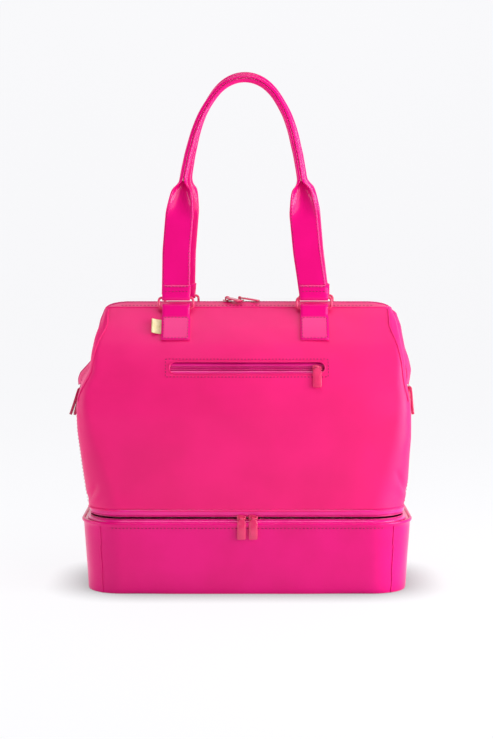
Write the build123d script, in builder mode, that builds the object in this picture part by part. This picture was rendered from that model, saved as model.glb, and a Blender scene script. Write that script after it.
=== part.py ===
from build123d import *
import math
import os

os.makedirs("parts", exist_ok=True)

# A soft frame-mouth travel tote that stands on a zip-off base compartment.
# Frame: origin under the middle of the base, +X to the right of the front, front faces -Y, +Z up.
# All sizes are millimetres.

# ---------------------------------------------------------------- driving dimensions
CLEAR = 0.3  # gap between soft pieces on different bodies
FAR = 300.0  # half the size of a block that reaches past the whole bag

BASE_WIDTH = 428.0
BASE_DEPTH = 200.0
BASE_HEIGHT = 102.0
BASE_CORNER = 55.0
BASE_FLARE = 3.6  # degrees that each wall leans out
BASE_WALL = 2.5
BASE_EDGE_ROUND = 12.0
BOTTOM_SHEET = 2.0
BOARD_THICKNESS = 2.5
LINING = 0.8

BODY_BOTTOM_Z = 115.0
BODY_BELLY_Z = 200.0
PIVOT_Z = 268.0  # the two mouth frames turn here
EAR_TOP_Z = 300.0
FABRIC = 2.5
# each section of the lower body: height, width, depth, corner radius
BODY_SECTIONS = [
    (BODY_BOTTOM_Z, 410.0, 194.0, 46.0),
    (BODY_BELLY_Z, 428.0, 200.0, 50.0),
    (PIVOT_Z, 432.0, 196.0, 50.0),
    (EAR_TOP_Z, 418.0, 192.0, 50.0),
]
GUSSET_HALF_DEPTH = 50.0

# side profile of a mouth half: distance in front of the middle, and height
MOUTH_PROFILE = [(90.0, 270.0), (86.0, 286.0), (72.0, 318.0), (52.0, 350.0), (26.0, 380.0)]
MOUTH_REACH = 24.0  # the panel stops and the zip tape starts this far from the middle
# front outline of the mouth: half width and height
MOUTH_OUTLINE = [(203.0, 270.0), (204.0, 300.0), (199.0, 335.0), (189.0, 370.0), (183.0, 382.7)]
MOUTH_CORNER = 12.0
MOUTH_PLAN_CORNER = 50.0
MOUTH_BOTTOM_Z = 270.0

COIL = 2.2
COIL_GAP = 2.0
TAPE = 1.2
ZIP_LEG_Z = 272.0
TOP_ZIP_Z = 381.6

FRAME_INSET = 5.5
FRAME_BAR = 6.0
FRAME_THICKNESS = 2.0
FRAME_Y = 14.0
FRAME_EYE_RADIUS = 5.0
FRAME_EYE_X = {"front": 195.7, "rear": 192.0}
EYE_THICKNESS = 3.0
PIN_RADIUS = 2.0
PIN_CLEAR = 0.05
PIN_INNER_X = 189.0
PIN_OUTER_X = 212.6

BASE_ZIP_WIDTH = 406.0
BASE_ZIP_DEPTH = 189.0
BASE_ZIP_CORNER = 46.0
BASE_ZIP_Z = 108.6
HINGE_Y = 98.0

POCKET_SHARE = 0.45  # place of the pocket zip along its straight stretch of the profile
POCKET_LENGTH = 200.0
POCKET_SLOT = 12.0
POCKET_TAPE = 9.0

CHAPE_X = 90.0
CHAPE_WIDTH = 36.0
CHAPE_BOTTOM_Z = 334.0
CHAPE_TOP_Z = 374.0
CHAPE_THICKNESS = 2.4
LOOP_SHARE = 0.75  # place of the ring loop along the top stretch of the profile
WIRE_RADIUS = 1.6
WIRE_CLEAR = 0.08
RING_WIDTH = 45.0
RING_HEIGHT = 13.5
RING_CORNER = 3.5

STATION_SHIFT = {"front": -2.5, "rear": 2.5}
HANDLE_LEAN = 5.0
STRAP_THICKNESS = 5.0
NECK_HEIGHT = 149.5
SHOULDER_RADIUS = 206.0
SHOULDER_TURN = 33.0
APEX_RADIUS = 53.3
GRIP_RADIUS = 5.0
GRIP_BORE = 3.0
CORE_RADIUS = 2.9
REAR_RISE = 8.0

SLIDER_LENGTH = 12.0
SLIDER_WIDTH = 9.6
SLIDER_PLATE = 1.4
SLIDER_CLEAR = 0.6
PULL_WIDTH = 11.0
PULL_LENGTH = 27.0
PULL_THICKNESS = 1.8
PULL_PIN = 0.8

TAB_LENGTH = 35.0
TAB_WIDTH = 25.0
TAB_THICKNESS = 3.6
TAB_BEAD = 2.2
TAB_Z = 267.0
TAB_X = 218.7
TAB_FLARE = {"left": 16.0, "right": 5.0}

LABEL_LEFT_X = 125.0
LABEL_BOTTOM_Z = 340.0
LABEL_TOP_Z = 362.0
LABEL_THICKNESS = 0.8

# ---------------------------------------------------------------- worked-out places
RIM_Z = BASE_HEIGHT
BASE_FOOT_INSET = BASE_HEIGHT * math.tan(math.radians(BASE_FLARE))
FOOT_WIDTH = BASE_WIDTH - 2 * BASE_FOOT_INSET
FOOT_DEPTH = BASE_DEPTH - 2 * BASE_FOOT_INSET
FOOT_CORNER = BASE_CORNER - BASE_FOOT_INSET
COIL_INNER = COIL_GAP / 2
COIL_OUTER = COIL_INNER + COIL
PLATE_GAP = COIL + 2 * SLIDER_CLEAR
NECK_X = SHOULDER_RADIUS * (1 - math.cos(math.radians(SHOULDER_TURN)))
NECK_X += APEX_RADIUS * math.cos(math.radians(SHOULDER_TURN))


def along(start, end, share):
    """The point that lies a share of the way from start to end on the mouth profile."""
    return (start[0] + share * (end[0] - start[0]), start[1] + share * (end[1] - start[1]))


def outward(start, end):
    """The unit outward normal (forward, up) of a straight stretch of the mouth profile."""
    run, rise = start[0] - end[0], end[1] - start[1]
    length = math.hypot(run, rise)
    return (rise / length, run / length)


POCKET_AT = along(MOUTH_PROFILE[1], MOUTH_PROFILE[2], POCKET_SHARE)
POCKET_OUT = outward(MOUTH_PROFILE[1], MOUTH_PROFILE[2])
LOOP_AT = along(MOUTH_PROFILE[3], MOUTH_PROFILE[4], LOOP_SHARE)
LOOP_OUT = outward(MOUTH_PROFILE[3], MOUTH_PROFILE[4])
LOOP_RADIUS = WIRE_RADIUS + WIRE_CLEAR + CHAPE_THICKNESS
RING_Y = LOOP_AT[0] + LOOP_RADIUS * LOOP_OUT[0]
RING_Z = LOOP_AT[1] + LOOP_RADIUS * LOOP_OUT[1]
RING_TOP_Z = RING_Z + RING_HEIGHT


def save(builder, name):
    """Labels a finished piece and writes it as its own STEP file."""
    builder.part.label = name
    export_step(builder.part, f"parts/{name}.step")


def keep_above(height, top=2 * FAR):
    """Cuts away what the current part has below one height and above another."""
    with Locations((0, 0, (height + top) / 2)):
        Box(2 * FAR, 2 * FAR, top - height, mode=Mode.INTERSECT)


# ---------------------------------------------------------------- base compartment
FLOOR_MARGIN = 22.0  # the wall turns in under the floor this far
BOARD_MARGIN = 16.0
LINING_FLOOR_Z = BOTTOM_SHEET + BOARD_THICKNESS + 6.0
LINING_GAP = 0.2
LEDGE = 1.2


def base_block(inset, low=0.0, high=BASE_HEIGHT, edge_round=0.0):
    """The flared block of the base, shrunk on every side by inset and cut to a height range."""
    with BuildPart() as block:
        with BuildSketch(Plane.XY):
            RectangleRounded(FOOT_WIDTH - 2 * inset, FOOT_DEPTH - 2 * inset, FOOT_CORNER - inset)
        extrude(amount=BASE_HEIGHT, taper=-BASE_FLARE)
        keep_above(low, high)
        if edge_round:
            fillet(block.faces().sort_by(Axis.Z)[0].edges(), edge_round)
    return block.part


def floor_sheet(margin, low, thickness):
    """A flat sheet with the plan of the base's foot, shrunk by a margin."""
    with BuildPart() as sheet:
        with BuildSketch(Plane.XY.offset(low)):
            RectangleRounded(FOOT_WIDTH - 2 * margin, FOOT_DEPTH - 2 * margin, FOOT_CORNER - margin)
        extrude(amount=thickness)
    return sheet.part


base_outside = base_block(0, edge_round=BASE_EDGE_ROUND)
base_inside = base_block(BASE_WALL, low=BOTTOM_SHEET, edge_round=BASE_EDGE_ROUND - BASE_WALL)
bottom_sheet = floor_sheet(FLOOR_MARGIN, 0, BOTTOM_SHEET)

with BuildPart() as base_wall:
    add(base_outside)
    add(base_inside, mode=Mode.SUBTRACT)
    add(bottom_sheet, mode=Mode.SUBTRACT)
save(base_wall, "base_wall")

with BuildPart() as base_bottom:
    add(bottom_sheet)
save(base_bottom, "base_bottom")

with BuildPart() as base_board:
    add(floor_sheet(BOARD_MARGIN, BOTTOM_SHEET, BOARD_THICKNESS))
save(base_board, "base_board")

lining_top = RIM_Z - LEDGE - LINING_GAP
lining_outside = base_block(BASE_WALL + LINING_GAP, LINING_FLOOR_Z, lining_top)
lining_inside = base_block(BASE_WALL + LINING_GAP + LINING, LINING_FLOOR_Z + LINING)

with BuildPart() as base_lining:
    add(lining_outside)
    add(lining_inside, mode=Mode.SUBTRACT)
save(base_lining, "base_lining")


def flat_ring(low, high, outer, inner):
    """An upright ring between two heights; outer and inner are (width, depth, corner radius)."""
    with BuildPart() as band:
        with BuildSketch(Plane.XY.offset(low)):
            RectangleRounded(*outer)
            RectangleRounded(*inner, mode=Mode.SUBTRACT)
        extrude(amount=high - low)
    return band.part


def zip_plan(outset):
    """The plan of the base zip as (width, depth, corner radius), grown on every side by outset."""
    return (BASE_ZIP_WIDTH + 2 * outset, BASE_ZIP_DEPTH + 2 * outset, BASE_ZIP_CORNER + outset)


COIL_OUTSET = (COIL - TAPE) / 2
RIM_INSET = BASE_WALL + 0.1
RIM_PLAN = (BASE_WIDTH - 2 * RIM_INSET, BASE_DEPTH - 2 * RIM_INSET, BASE_CORNER - RIM_INSET)
LOWER_COIL_Z = (BASE_ZIP_Z - COIL_OUTER, BASE_ZIP_Z - COIL_INNER)
UPPER_COIL_Z = (BASE_ZIP_Z + COIL_INNER, BASE_ZIP_Z + COIL_OUTER)
SEAM = 1.0

with BuildPart() as base_zip_lower_tape:
    add(flat_ring(RIM_Z - LEDGE, LOWER_COIL_Z[0], zip_plan(0), zip_plan(-TAPE)))
    add(flat_ring(RIM_Z - LEDGE, RIM_Z, RIM_PLAN, zip_plan(-TAPE)))
save(base_zip_lower_tape, "base_zip_lower_tape")

with BuildPart() as base_zip_lower_coil:
    add(flat_ring(*LOWER_COIL_Z, zip_plan(COIL_OUTSET), zip_plan(COIL_OUTSET - COIL)))
save(base_zip_lower_coil, "base_zip_lower_coil")

with BuildPart() as base_zip_upper_coil:
    add(flat_ring(*UPPER_COIL_Z, zip_plan(COIL_OUTSET), zip_plan(COIL_OUTSET - COIL)))
save(base_zip_upper_coil, "base_zip_upper_coil")

with BuildPart() as base_zip_upper_tape:
    add(flat_ring(UPPER_COIL_Z[1], BODY_BOTTOM_Z, zip_plan(0), zip_plan(-TAPE)))
    add(flat_ring(BODY_BOTTOM_Z - SEAM, BODY_BOTTOM_Z, BODY_SECTIONS[0][1:], zip_plan(-TAPE)))
save(base_zip_upper_tape, "base_zip_upper_tape")

# ---------------------------------------------------------------- lower body
DIVIDER = 2.5
DIVIDER_INSET = 2.5


def body_block(inset):
    """The body's outer block up to the top of the ears, shrunk by inset."""
    with BuildPart() as block:
        for height, width, depth, corner in BODY_SECTIONS:
            with BuildSketch(Plane.XY.offset(height)):
                RectangleRounded(width - 2 * inset, depth - 2 * inset, corner - inset)
        loft(ruled=True)
    return block.part


def keep_between(low, high):
    """Keeps what the current part has between two corner points."""
    middle = [(a + b) / 2 for a, b in zip(low, high)]
    with Locations(tuple(middle)):
        Box(high[0] - low[0], high[1] - low[1], high[2] - low[2], mode=Mode.INTERSECT)


body_outside = body_block(0)
body_inside = body_block(FABRIC)

for side, back, front in (("front", -FAR, -GUSSET_HALF_DEPTH), ("rear", GUSSET_HALF_DEPTH, FAR)):
    with BuildPart() as panel:
        add(body_outside)
        add(body_inside, mode=Mode.SUBTRACT)
        keep_between((-FAR, back, BODY_BOTTOM_Z), (FAR, front, PIVOT_Z))
    save(panel, f"{side}_body_panel")

for side, left, right in (("left", -FAR, 0), ("right", 0, FAR)):
    with BuildPart() as gusset:
        add(body_outside)
        add(body_inside, mode=Mode.SUBTRACT)
        keep_between((left, -GUSSET_HALF_DEPTH, BODY_BOTTOM_Z), (right, GUSSET_HALF_DEPTH, EAR_TOP_Z))
    save(gusset, f"{side}_gusset")

with BuildPart() as divider_floor:
    with BuildSketch(Plane.XY.offset(BODY_BOTTOM_Z)):
        RectangleRounded(*zip_plan(-DIVIDER_INSET))
    extrude(amount=DIVIDER)
save(divider_floor, "divider_floor")

body_lining_outside = body_block(FABRIC + LINING_GAP)
body_lining_inside = body_block(FABRIC + LINING_GAP + LINING)

with BuildPart() as main_lining:
    add(body_lining_outside)
    add(body_lining_inside, mode=Mode.SUBTRACT)
    keep_above(BODY_BOTTOM_Z + DIVIDER + LINING_GAP, PIVOT_Z - 6.0)
save(main_lining, "main_lining")

with BuildPart() as frame_pins:
    for end in (-1, 1):
        with Locations(Location((end * (PIN_INNER_X + PIN_OUTER_X) / 2, 0, PIVOT_Z), (0, 90, 0))):
            Cylinder(PIN_RADIUS, PIN_OUTER_X - PIN_INNER_X)
save(frame_pins, "frame_pins")

HINGE_HALF_LENGTH = 185.0
HINGE_BEAD = 1.0  # the strip rolls on a bead of this radius
HINGE_HEIGHT = BODY_BOTTOM_Z - SEAM - CLEAR - BASE_ZIP_Z

with BuildPart() as base_hinge_strip:
    with Locations((0, HINGE_Y, BASE_ZIP_Z + HINGE_HEIGHT / 2)):
        Box(2 * HINGE_HALF_LENGTH, TAPE, HINGE_HEIGHT)
    with Locations(Location((0, HINGE_Y, BASE_ZIP_Z), (0, 90, 0))):
        Cylinder(HINGE_BEAD, 2 * HINGE_HALF_LENGTH)
save(base_hinge_strip, "base_hinge_strip")

# ---------------------------------------------------------------- mouth halves
OUTLINE_FLOOR_Z = 230.0
PROFILE_FLOOR_Z = 200.0
PROFILE_RUN_ON = (52.0, 60.0)  # the profile carries on past the top at the same slope


def outline_block(inset, near, far):
    """The mouth's front outline, shrunk by inset, as a block between two distances forward."""
    left = [(-x, z) for x, z in reversed(MOUTH_OUTLINE)]
    with BuildPart() as block:
        with BuildSketch(Plane.XZ.offset(near)) as face:
            with BuildLine():
                floor = [(left[-1][0], OUTLINE_FLOOR_Z), (-left[-1][0], OUTLINE_FLOOR_Z)]
                Polyline(*floor, *MOUTH_OUTLINE, *left, close=True)
            make_face()
            fillet(face.vertices().sort_by(Axis.Y)[-2:], MOUTH_CORNER)
            if inset:
                offset(amount=-inset, mode=Mode.REPLACE)
        extrude(amount=far - near)
    return block.part


def profile_block(inset, closed):
    """The mouth's side profile as a block across the bag; closed stops it where the tape starts."""
    points = [(-y, z) for y, z in MOUTH_PROFILE]
    top = (points[-1][0] + PROFILE_RUN_ON[0], points[-1][1] + PROFILE_RUN_ON[1])
    if closed:
        rest = [(-MOUTH_REACH, points[-1][1]), (-MOUTH_REACH, points[0][1])]
    else:
        rest = [top, (top[0], PROFILE_FLOOR_Z), (points[0][0], PROFILE_FLOOR_Z)]
    with BuildPart() as block:
        with BuildSketch(Plane.YZ.offset(-FAR)):
            with BuildLine():
                Polyline(*points, *rest, close=True)
            make_face()
            if inset:
                offset(amount=-inset, kind=Kind.INTERSECTION, mode=Mode.REPLACE)
        extrude(amount=2 * FAR)
    return block.part


outline_outside = outline_block(0, 0, FAR)
outline_inside = outline_block(FABRIC, 0, FAR)
profile_outside = profile_block(0, True)
profile_open = profile_block(0, False)
profile_inside = profile_block(FABRIC, False)


def mouth_plan(inset):
    """The rounded plan of the closed mouth, which lets each half turn down inside the body."""
    width, depth = 2 * MOUTH_OUTLINE[1][0], 2 * MOUTH_PROFILE[0][0]
    with BuildPart() as block:
        with BuildSketch(Plane.XY.offset(PROFILE_FLOOR_Z)):
            RectangleRounded(width - 2 * inset, depth - 2 * inset, MOUTH_PLAN_CORNER - inset)
        extrude(amount=PROFILE_FLOOR_Z)
    return block.part


with BuildPart() as mouth_hollow:
    add(outline_inside)
    add(profile_inside, mode=Mode.INTERSECT)
    add(mouth_plan(FABRIC), mode=Mode.INTERSECT)

# one curved mouth panel with its side returns, open behind, below and on top
with BuildPart() as mouth_panel:
    add(outline_outside)
    add(profile_outside, mode=Mode.INTERSECT)
    add(mouth_plan(0), mode=Mode.INTERSECT)
    add(mouth_hollow.part, mode=Mode.SUBTRACT)

pocket_plane = Plane(
    origin=(0, -POCKET_AT[0], POCKET_AT[1]),
    x_dir=(1, 0, 0),
    z_dir=(0, -POCKET_OUT[0], POCKET_OUT[1]),
)

with BuildPart() as front_mouth_panel:
    add(mouth_panel.part)
    with BuildSketch(pocket_plane):
        SlotOverall(POCKET_LENGTH, POCKET_SLOT)
    extrude(amount=4 * FABRIC, both=True, mode=Mode.SUBTRACT)
save(front_mouth_panel, "front_mouth_panel")

with BuildPart() as rear_mouth_panel:
    mirror(mouth_panel.part, about=Plane.XZ)
save(rear_mouth_panel, "rear_mouth_panel")


def save_side(builder, side, name):
    """Saves a piece of the front half as it is, or its mirror image for the rear half."""
    with BuildPart() as placed:
        if side == "rear":
            mirror(builder.part, about=Plane.XZ)
        else:
            add(builder.part)
    save(placed, name)


def u_band(inset, width, near, far, low):
    """A band that follows the mouth's outline down both sides and across the top."""
    outer = outline_block(inset, near, far)
    inner = outline_block(inset + width, near, far)
    with BuildPart() as band:
        add(outer)
        add(inner, mode=Mode.SUBTRACT)
        keep_above(low)
    return band.part


TAPE_SINK = (COIL - TAPE) / 2
EYE_ARM_HEIGHT = 4.0
frame_u = u_band(FRAME_INSET, FRAME_BAR, FRAME_Y - FRAME_THICKNESS, FRAME_Y, MOUTH_BOTTOM_Z)
tape_u = u_band(TAPE_SINK, TAPE, COIL_OUTER, MOUTH_REACH, ZIP_LEG_Z)
coil_u = u_band(0, COIL, COIL_INNER, COIL_OUTER, ZIP_LEG_Z)

for side in ("front", "rear"):
    with BuildPart() as frame_bar:
        add(frame_u)
        for end in (-1, 1):
            eye_x = end * FRAME_EYE_X[side]
            with Locations((eye_x, -FRAME_Y / 2, MOUTH_BOTTOM_Z)):
                Box(EYE_THICKNESS, FRAME_Y, EYE_ARM_HEIGHT)
            with Locations(Location((eye_x, 0, PIVOT_Z), (0, 90, 0))):
                Cylinder(FRAME_EYE_RADIUS, EYE_THICKNESS)
                Cylinder(PIN_RADIUS + PIN_CLEAR, 2 * EYE_THICKNESS, mode=Mode.SUBTRACT)
    save_side(frame_bar, side, f"{side}_frame")
    with BuildPart() as zip_tape:
        add(tape_u)
    save_side(zip_tape, side, f"top_zip_{side}_tape")
    with BuildPart() as zip_coil:
        add(coil_u)
    save_side(zip_coil, side, f"top_zip_{side}_coil")


def skin_patch(x_left, x_right, low, high, thickness):
    """A thin piece that lies on the outside of the front mouth panel."""
    over = profile_block(-thickness, False)
    with BuildPart() as patch:
        add(over)
        add(profile_open, mode=Mode.SUBTRACT)
        keep_between((x_left, -FAR, low), (x_right, 0, high))
    return patch.part


def cross_bar(x_middle, z, length, radius):
    """A round bar across the bag at the ring loops' distance from the middle."""
    with BuildPart() as bar:
        with Locations(Location((x_middle, -RING_Y, z), (0, 90, 0))):
            Cylinder(radius, length)
    return bar.part


def chape(x_middle):
    """A folded tab, sewn to the panel below and looped round a ring above."""
    half = CHAPE_WIDTH / 2
    flap = skin_patch(x_middle - half, x_middle + half, CHAPE_BOTTOM_Z, CHAPE_TOP_Z, CHAPE_THICKNESS)
    with BuildPart() as piece:
        add(flap)
        add(cross_bar(x_middle, RING_Z, CHAPE_WIDTH, LOOP_RADIUS))
        add(profile_open, mode=Mode.SUBTRACT)
        add(cross_bar(x_middle, RING_Z, 2 * CHAPE_WIDTH, WIRE_RADIUS + WIRE_CLEAR), mode=Mode.SUBTRACT)
    return piece


def wire_ring(x_middle):
    """A rectangular wire ring, upright, with its lower bar in the chape's loop."""
    middle = (x_middle, -RING_Y, RING_Z + RING_HEIGHT / 2)
    with BuildPart() as piece:
        with BuildSketch(Plane(middle, x_dir=(1, 0, 0), z_dir=(0, -1, 0)), mode=Mode.PRIVATE) as shape:
            RectangleRounded(RING_WIDTH, RING_HEIGHT, RING_CORNER)
        with BuildSketch(Plane((x_middle, -RING_Y, RING_Z), x_dir=(0, 1, 0), z_dir=(1, 0, 0))):
            Circle(WIRE_RADIUS)
        sweep(path=shape.sketch.face().outer_wire())
    return piece


# ---------------------------------------------------------------- handles
STRAP_HALF = 18.2
NECK_HALF = 4.6
# the strap's taper: distance below the neck, and share of its full half width
STRAP_TAPER = [(35.0, 1.0), (18.0, 0.86), (7.0, 0.5)]


def handle_plane(x_middle):
    """The front handle's leaning plane, with its origin midway between the upper ring bars."""
    lean = math.radians(HANDLE_LEAN)
    return Plane(
        origin=(x_middle, -RING_Y, RING_TOP_Z),
        x_dir=(1, 0, 0),
        z_dir=(0, -math.cos(lean), math.sin(lean)),
    )


def handle_straps(x_middle, neck_height):
    """The two flat strap ends: each loops round its ring, runs up and narrows to the grip."""
    lean = (CHAPE_X - NECK_X) / neck_height
    levels = [(0.0, STRAP_HALF)]
    levels += [(neck_height - below, share * STRAP_HALF) for below, share in STRAP_TAPER]
    levels += [(neck_height, NECK_HALF)]
    with BuildPart() as piece:
        with BuildSketch(handle_plane(x_middle)):
            for end in (-1, 1):
                outer = [(end * (CHAPE_X - lean * h + half), h) for h, half in levels]
                inner = [(end * (CHAPE_X - lean * h - half), h) for h, half in reversed(levels)]
                with BuildLine():
                    Polyline(*outer, *inner, close=True)
                make_face()
        extrude(amount=STRAP_THICKNESS / 2, both=True)
        for end in (-1, 1):
            middle = x_middle + end * CHAPE_X
            add(cross_bar(middle, RING_TOP_Z, 2 * STRAP_HALF, LOOP_RADIUS))
            hole = cross_bar(middle, RING_TOP_Z, 4 * STRAP_HALF, WIRE_RADIUS + WIRE_CLEAR)
            add(hole, mode=Mode.SUBTRACT)
    return piece


def handle_tube(x_middle, neck_height, radius, bore=0.0):
    """A round bar or tube along the handle's arch, from neck to neck."""
    with BuildPart() as piece:
        with BuildLine(handle_plane(x_middle)) as path:
            rise = JernArc((-NECK_X, neck_height), (0, 1), SHOULDER_RADIUS, -SHOULDER_TURN)
            apex = JernArc(rise @ 1, rise % 1, APEX_RADIUS, -2 * (90 - SHOULDER_TURN))
            JernArc(apex @ 1, apex % 1, SHOULDER_RADIUS, -SHOULDER_TURN)
        start = path.line @ 0
        with BuildSketch(Plane(start, x_dir=(1, 0, 0), z_dir=path.line % 0)):
            Circle(radius)
            if bore:
                Circle(bore, mode=Mode.SUBTRACT)
        sweep(path=path.line)
    return piece


for side in ("front", "rear"):
    shift = STATION_SHIFT[side]
    neck_height = NECK_HEIGHT + (REAR_RISE if side == "rear" else 0.0)
    save_side(chape(shift - CHAPE_X), side, f"{side}_left_chape")
    save_side(chape(shift + CHAPE_X), side, f"{side}_right_chape")
    save_side(wire_ring(shift - CHAPE_X), side, f"{side}_left_ring")
    save_side(wire_ring(shift + CHAPE_X), side, f"{side}_right_ring")
    save_side(handle_straps(shift, neck_height), side, f"{side}_handle_straps")
    save_side(handle_tube(shift, neck_height, GRIP_RADIUS, GRIP_BORE), side, f"{side}_handle_grip")
    save_side(handle_tube(shift, neck_height, CORE_RADIUS), side, f"{side}_handle_core")

LABEL_RIGHT_X = STATION_SHIFT["front"] - CHAPE_X - CHAPE_WIDTH / 2 - 0.05

with BuildPart() as side_label:
    add(skin_patch(-LABEL_LEFT_X, LABEL_RIGHT_X, LABEL_BOTTOM_Z, LABEL_TOP_Z, LABEL_THICKNESS))
save(side_label, "side_label")

# ---------------------------------------------------------------- front pocket
POCKET_END = 6.0
POCKET_ZIP_DEPTH = FABRIC + COIL / 2 + 0.1  # the coils lie just behind the panel
POCKET_BAG_TOP_Z = 284.0
POCKET_BAG_DEPTH = 72.0
POCKET_BAG_Y = 68.5
POCKET_BAG_THICKNESS = 3.0

with BuildPart(pocket_plane) as pocket_zip_tape:
    for edge in (-1, 1):
        with Locations((0, edge * (COIL_OUTER + POCKET_TAPE / 2), -POCKET_ZIP_DEPTH)):
            Box(POCKET_LENGTH + 2 * POCKET_END, POCKET_TAPE, TAPE)
save(pocket_zip_tape, "pocket_zip_tape")

with BuildPart(pocket_plane) as pocket_zip_coil:
    for edge in (-1, 1):
        with Locations((0, edge * (COIL_INNER + COIL / 2), -POCKET_ZIP_DEPTH)):
            Box(POCKET_LENGTH + 2 * POCKET_END, COIL, COIL)
save(pocket_zip_coil, "pocket_zip_coil")

with BuildPart() as pocket_bag:
    with Locations((0, -POCKET_BAG_Y, POCKET_BAG_TOP_Z - POCKET_BAG_DEPTH / 2)):
        Box(POCKET_LENGTH, POCKET_BAG_THICKNESS, POCKET_BAG_DEPTH)
save(pocket_bag, "pocket_bag")

# ---------------------------------------------------------------- sliders and pulls
TOP_PIN = 5.9
BASE_PIN = 7.9
POCKET_PIN = 6.4
POCKET_SLIDER_X = 90.0
BASE_SLIDER_X = {"left": -7.0, "right": 8.0}
TOP_SLIDER_X = {"left": -26.0, "right": -9.5}
TOP_BAIL_TURN = {"left": 40.0, "right": 70.0}
TOP_PULL_DROP = 8.0
BASE_ZIP_Y = BASE_ZIP_DEPTH / 2 - TAPE / 2
CHEEK = 1.2
CHEEK_X = 2.9
CHEEK_DEPTH = 3.0
CHEEK_ROOT = 0.4
PIN_LENGTH = 6.0
EYE_LENGTH = 4.0
EYE_RADIUS = 1.7
PULL_NECK = 4.0


def slider(plane, pin_height, bail_turn):
    """A zip slider. Its plane has X along the zip, Y towards the coil that lets go, Z outwards."""
    plate_z = (PLATE_GAP + SLIDER_PLATE) / 2
    plate_top = plate_z + SLIDER_PLATE / 2
    cheek_height = pin_height + EYE_RADIUS - plate_top + CHEEK_ROOT
    cheek_z = plate_top - CHEEK_ROOT + cheek_height / 2
    with BuildPart(plane) as piece:
        with Locations((0, 0, plate_z), (0, 0, -plate_z)):
            Box(SLIDER_LENGTH, SLIDER_WIDTH, SLIDER_PLATE)
        Box(SLIDER_LENGTH / 3, COIL_GAP / 2, 2 * plate_z)
        with Locations(Location((0, 0, 0), (0, 0, bail_turn))):
            with Locations((-CHEEK_X, 0, cheek_z), (CHEEK_X, 0, cheek_z)):
                Box(CHEEK, CHEEK_DEPTH, cheek_height)
            with Locations(Location((0, 0, pin_height), (0, 90, 0))):
                Cylinder(PULL_PIN, PIN_LENGTH)
    return piece


def pull(plane):
    """A flat zip pull. Its plane has X along the pin, the pull points to -Y, Z is its outer face."""
    body = PULL_LENGTH - PULL_NECK
    with BuildPart(plane) as piece:
        with Locations((0, -PULL_NECK / 2, 0)):
            Box(EYE_LENGTH, PULL_NECK, PULL_THICKNESS)
        with Locations((0, -PULL_NECK - body / 2, 0)):
            Box(PULL_WIDTH, body, PULL_THICKNESS)
        with Locations(Location((0, 0, 0), (0, 90, 0))):
            Cylinder(EYE_RADIUS, EYE_LENGTH)
            Cylinder(PULL_PIN + PIN_CLEAR, 2 * EYE_LENGTH, mode=Mode.SUBTRACT)
    return piece


for side in ("left", "right"):
    zip_plane = Plane(origin=(TOP_SLIDER_X[side], 0, TOP_ZIP_Z), x_dir=(1, 0, 0), z_dir=(0, 0, 1))
    save(slider(zip_plane, TOP_PIN, TOP_BAIL_TURN[side]), f"top_{side}_slider")
    turn = math.radians(TOP_BAIL_TURN[side])
    drop = math.radians(TOP_PULL_DROP)
    pull_plane = Plane(
        origin=(TOP_SLIDER_X[side], 0, TOP_ZIP_Z + TOP_PIN),
        x_dir=(math.cos(turn), math.sin(turn), 0),
        z_dir=(math.sin(turn) * math.sin(drop), -math.cos(turn) * math.sin(drop), math.cos(drop)),
    )
    save(pull(pull_plane), f"top_{side}_pull")
    base_origin = (BASE_SLIDER_X[side], -BASE_ZIP_Y, BASE_ZIP_Z)
    base_plane = Plane(base_origin, x_dir=(1, 0, 0), z_dir=(0, -1, 0))
    save(slider(base_plane, BASE_PIN, 0), f"base_{side}_slider")
    save(pull(base_plane.offset(BASE_PIN)), f"base_{side}_pull")

pocket_slider_plane = pocket_plane.offset(-POCKET_ZIP_DEPTH).move(Location((POCKET_SLIDER_X, 0, 0)))
save(slider(pocket_slider_plane, POCKET_PIN, 0), "pocket_slider")
save(pull(pocket_slider_plane.offset(POCKET_PIN)), "pocket_pull")

# ---------------------------------------------------------------- zip end tabs
for side, end in (("left", -1), ("right", 1)):
    flare = math.radians(TAB_FLARE[side])
    hang = Plane(
        origin=(end * TAB_X, 0, TAB_Z),
        x_dir=(0, end, 0),
        z_dir=(end * math.cos(flare), 0, math.sin(flare)),
    )
    with BuildPart(hang) as tab:
        with Locations((0, -TAB_LENGTH / 2, 0)):
            Box(TAB_WIDTH, TAB_LENGTH, TAB_THICKNESS)
        with Locations(Location((0, 0, 0), (0, 90, 0))):
            Cylinder(TAB_BEAD, TAB_WIDTH)
    save(tab, f"{side}_zip_tab")
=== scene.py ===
# %% [markdown]
# # A weekend tote on a zip-off base
# The bag is a satin woven body whose mouth is held by a spring frame, standing on a glossy coated
# base that opens on a zip of its own. The frame below is the finished mechanical model: its bodies
# move, and most pieces made here are hung on one of them; the panels with their seams and fold piping,
# the main linings and the hinge strip are baked in place on none.

# %% Load the mechanical frame
import math

import bpy
from mathutils import Matrix, Vector, noise
from mathutils.bvhtree import BVHTree


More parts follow.
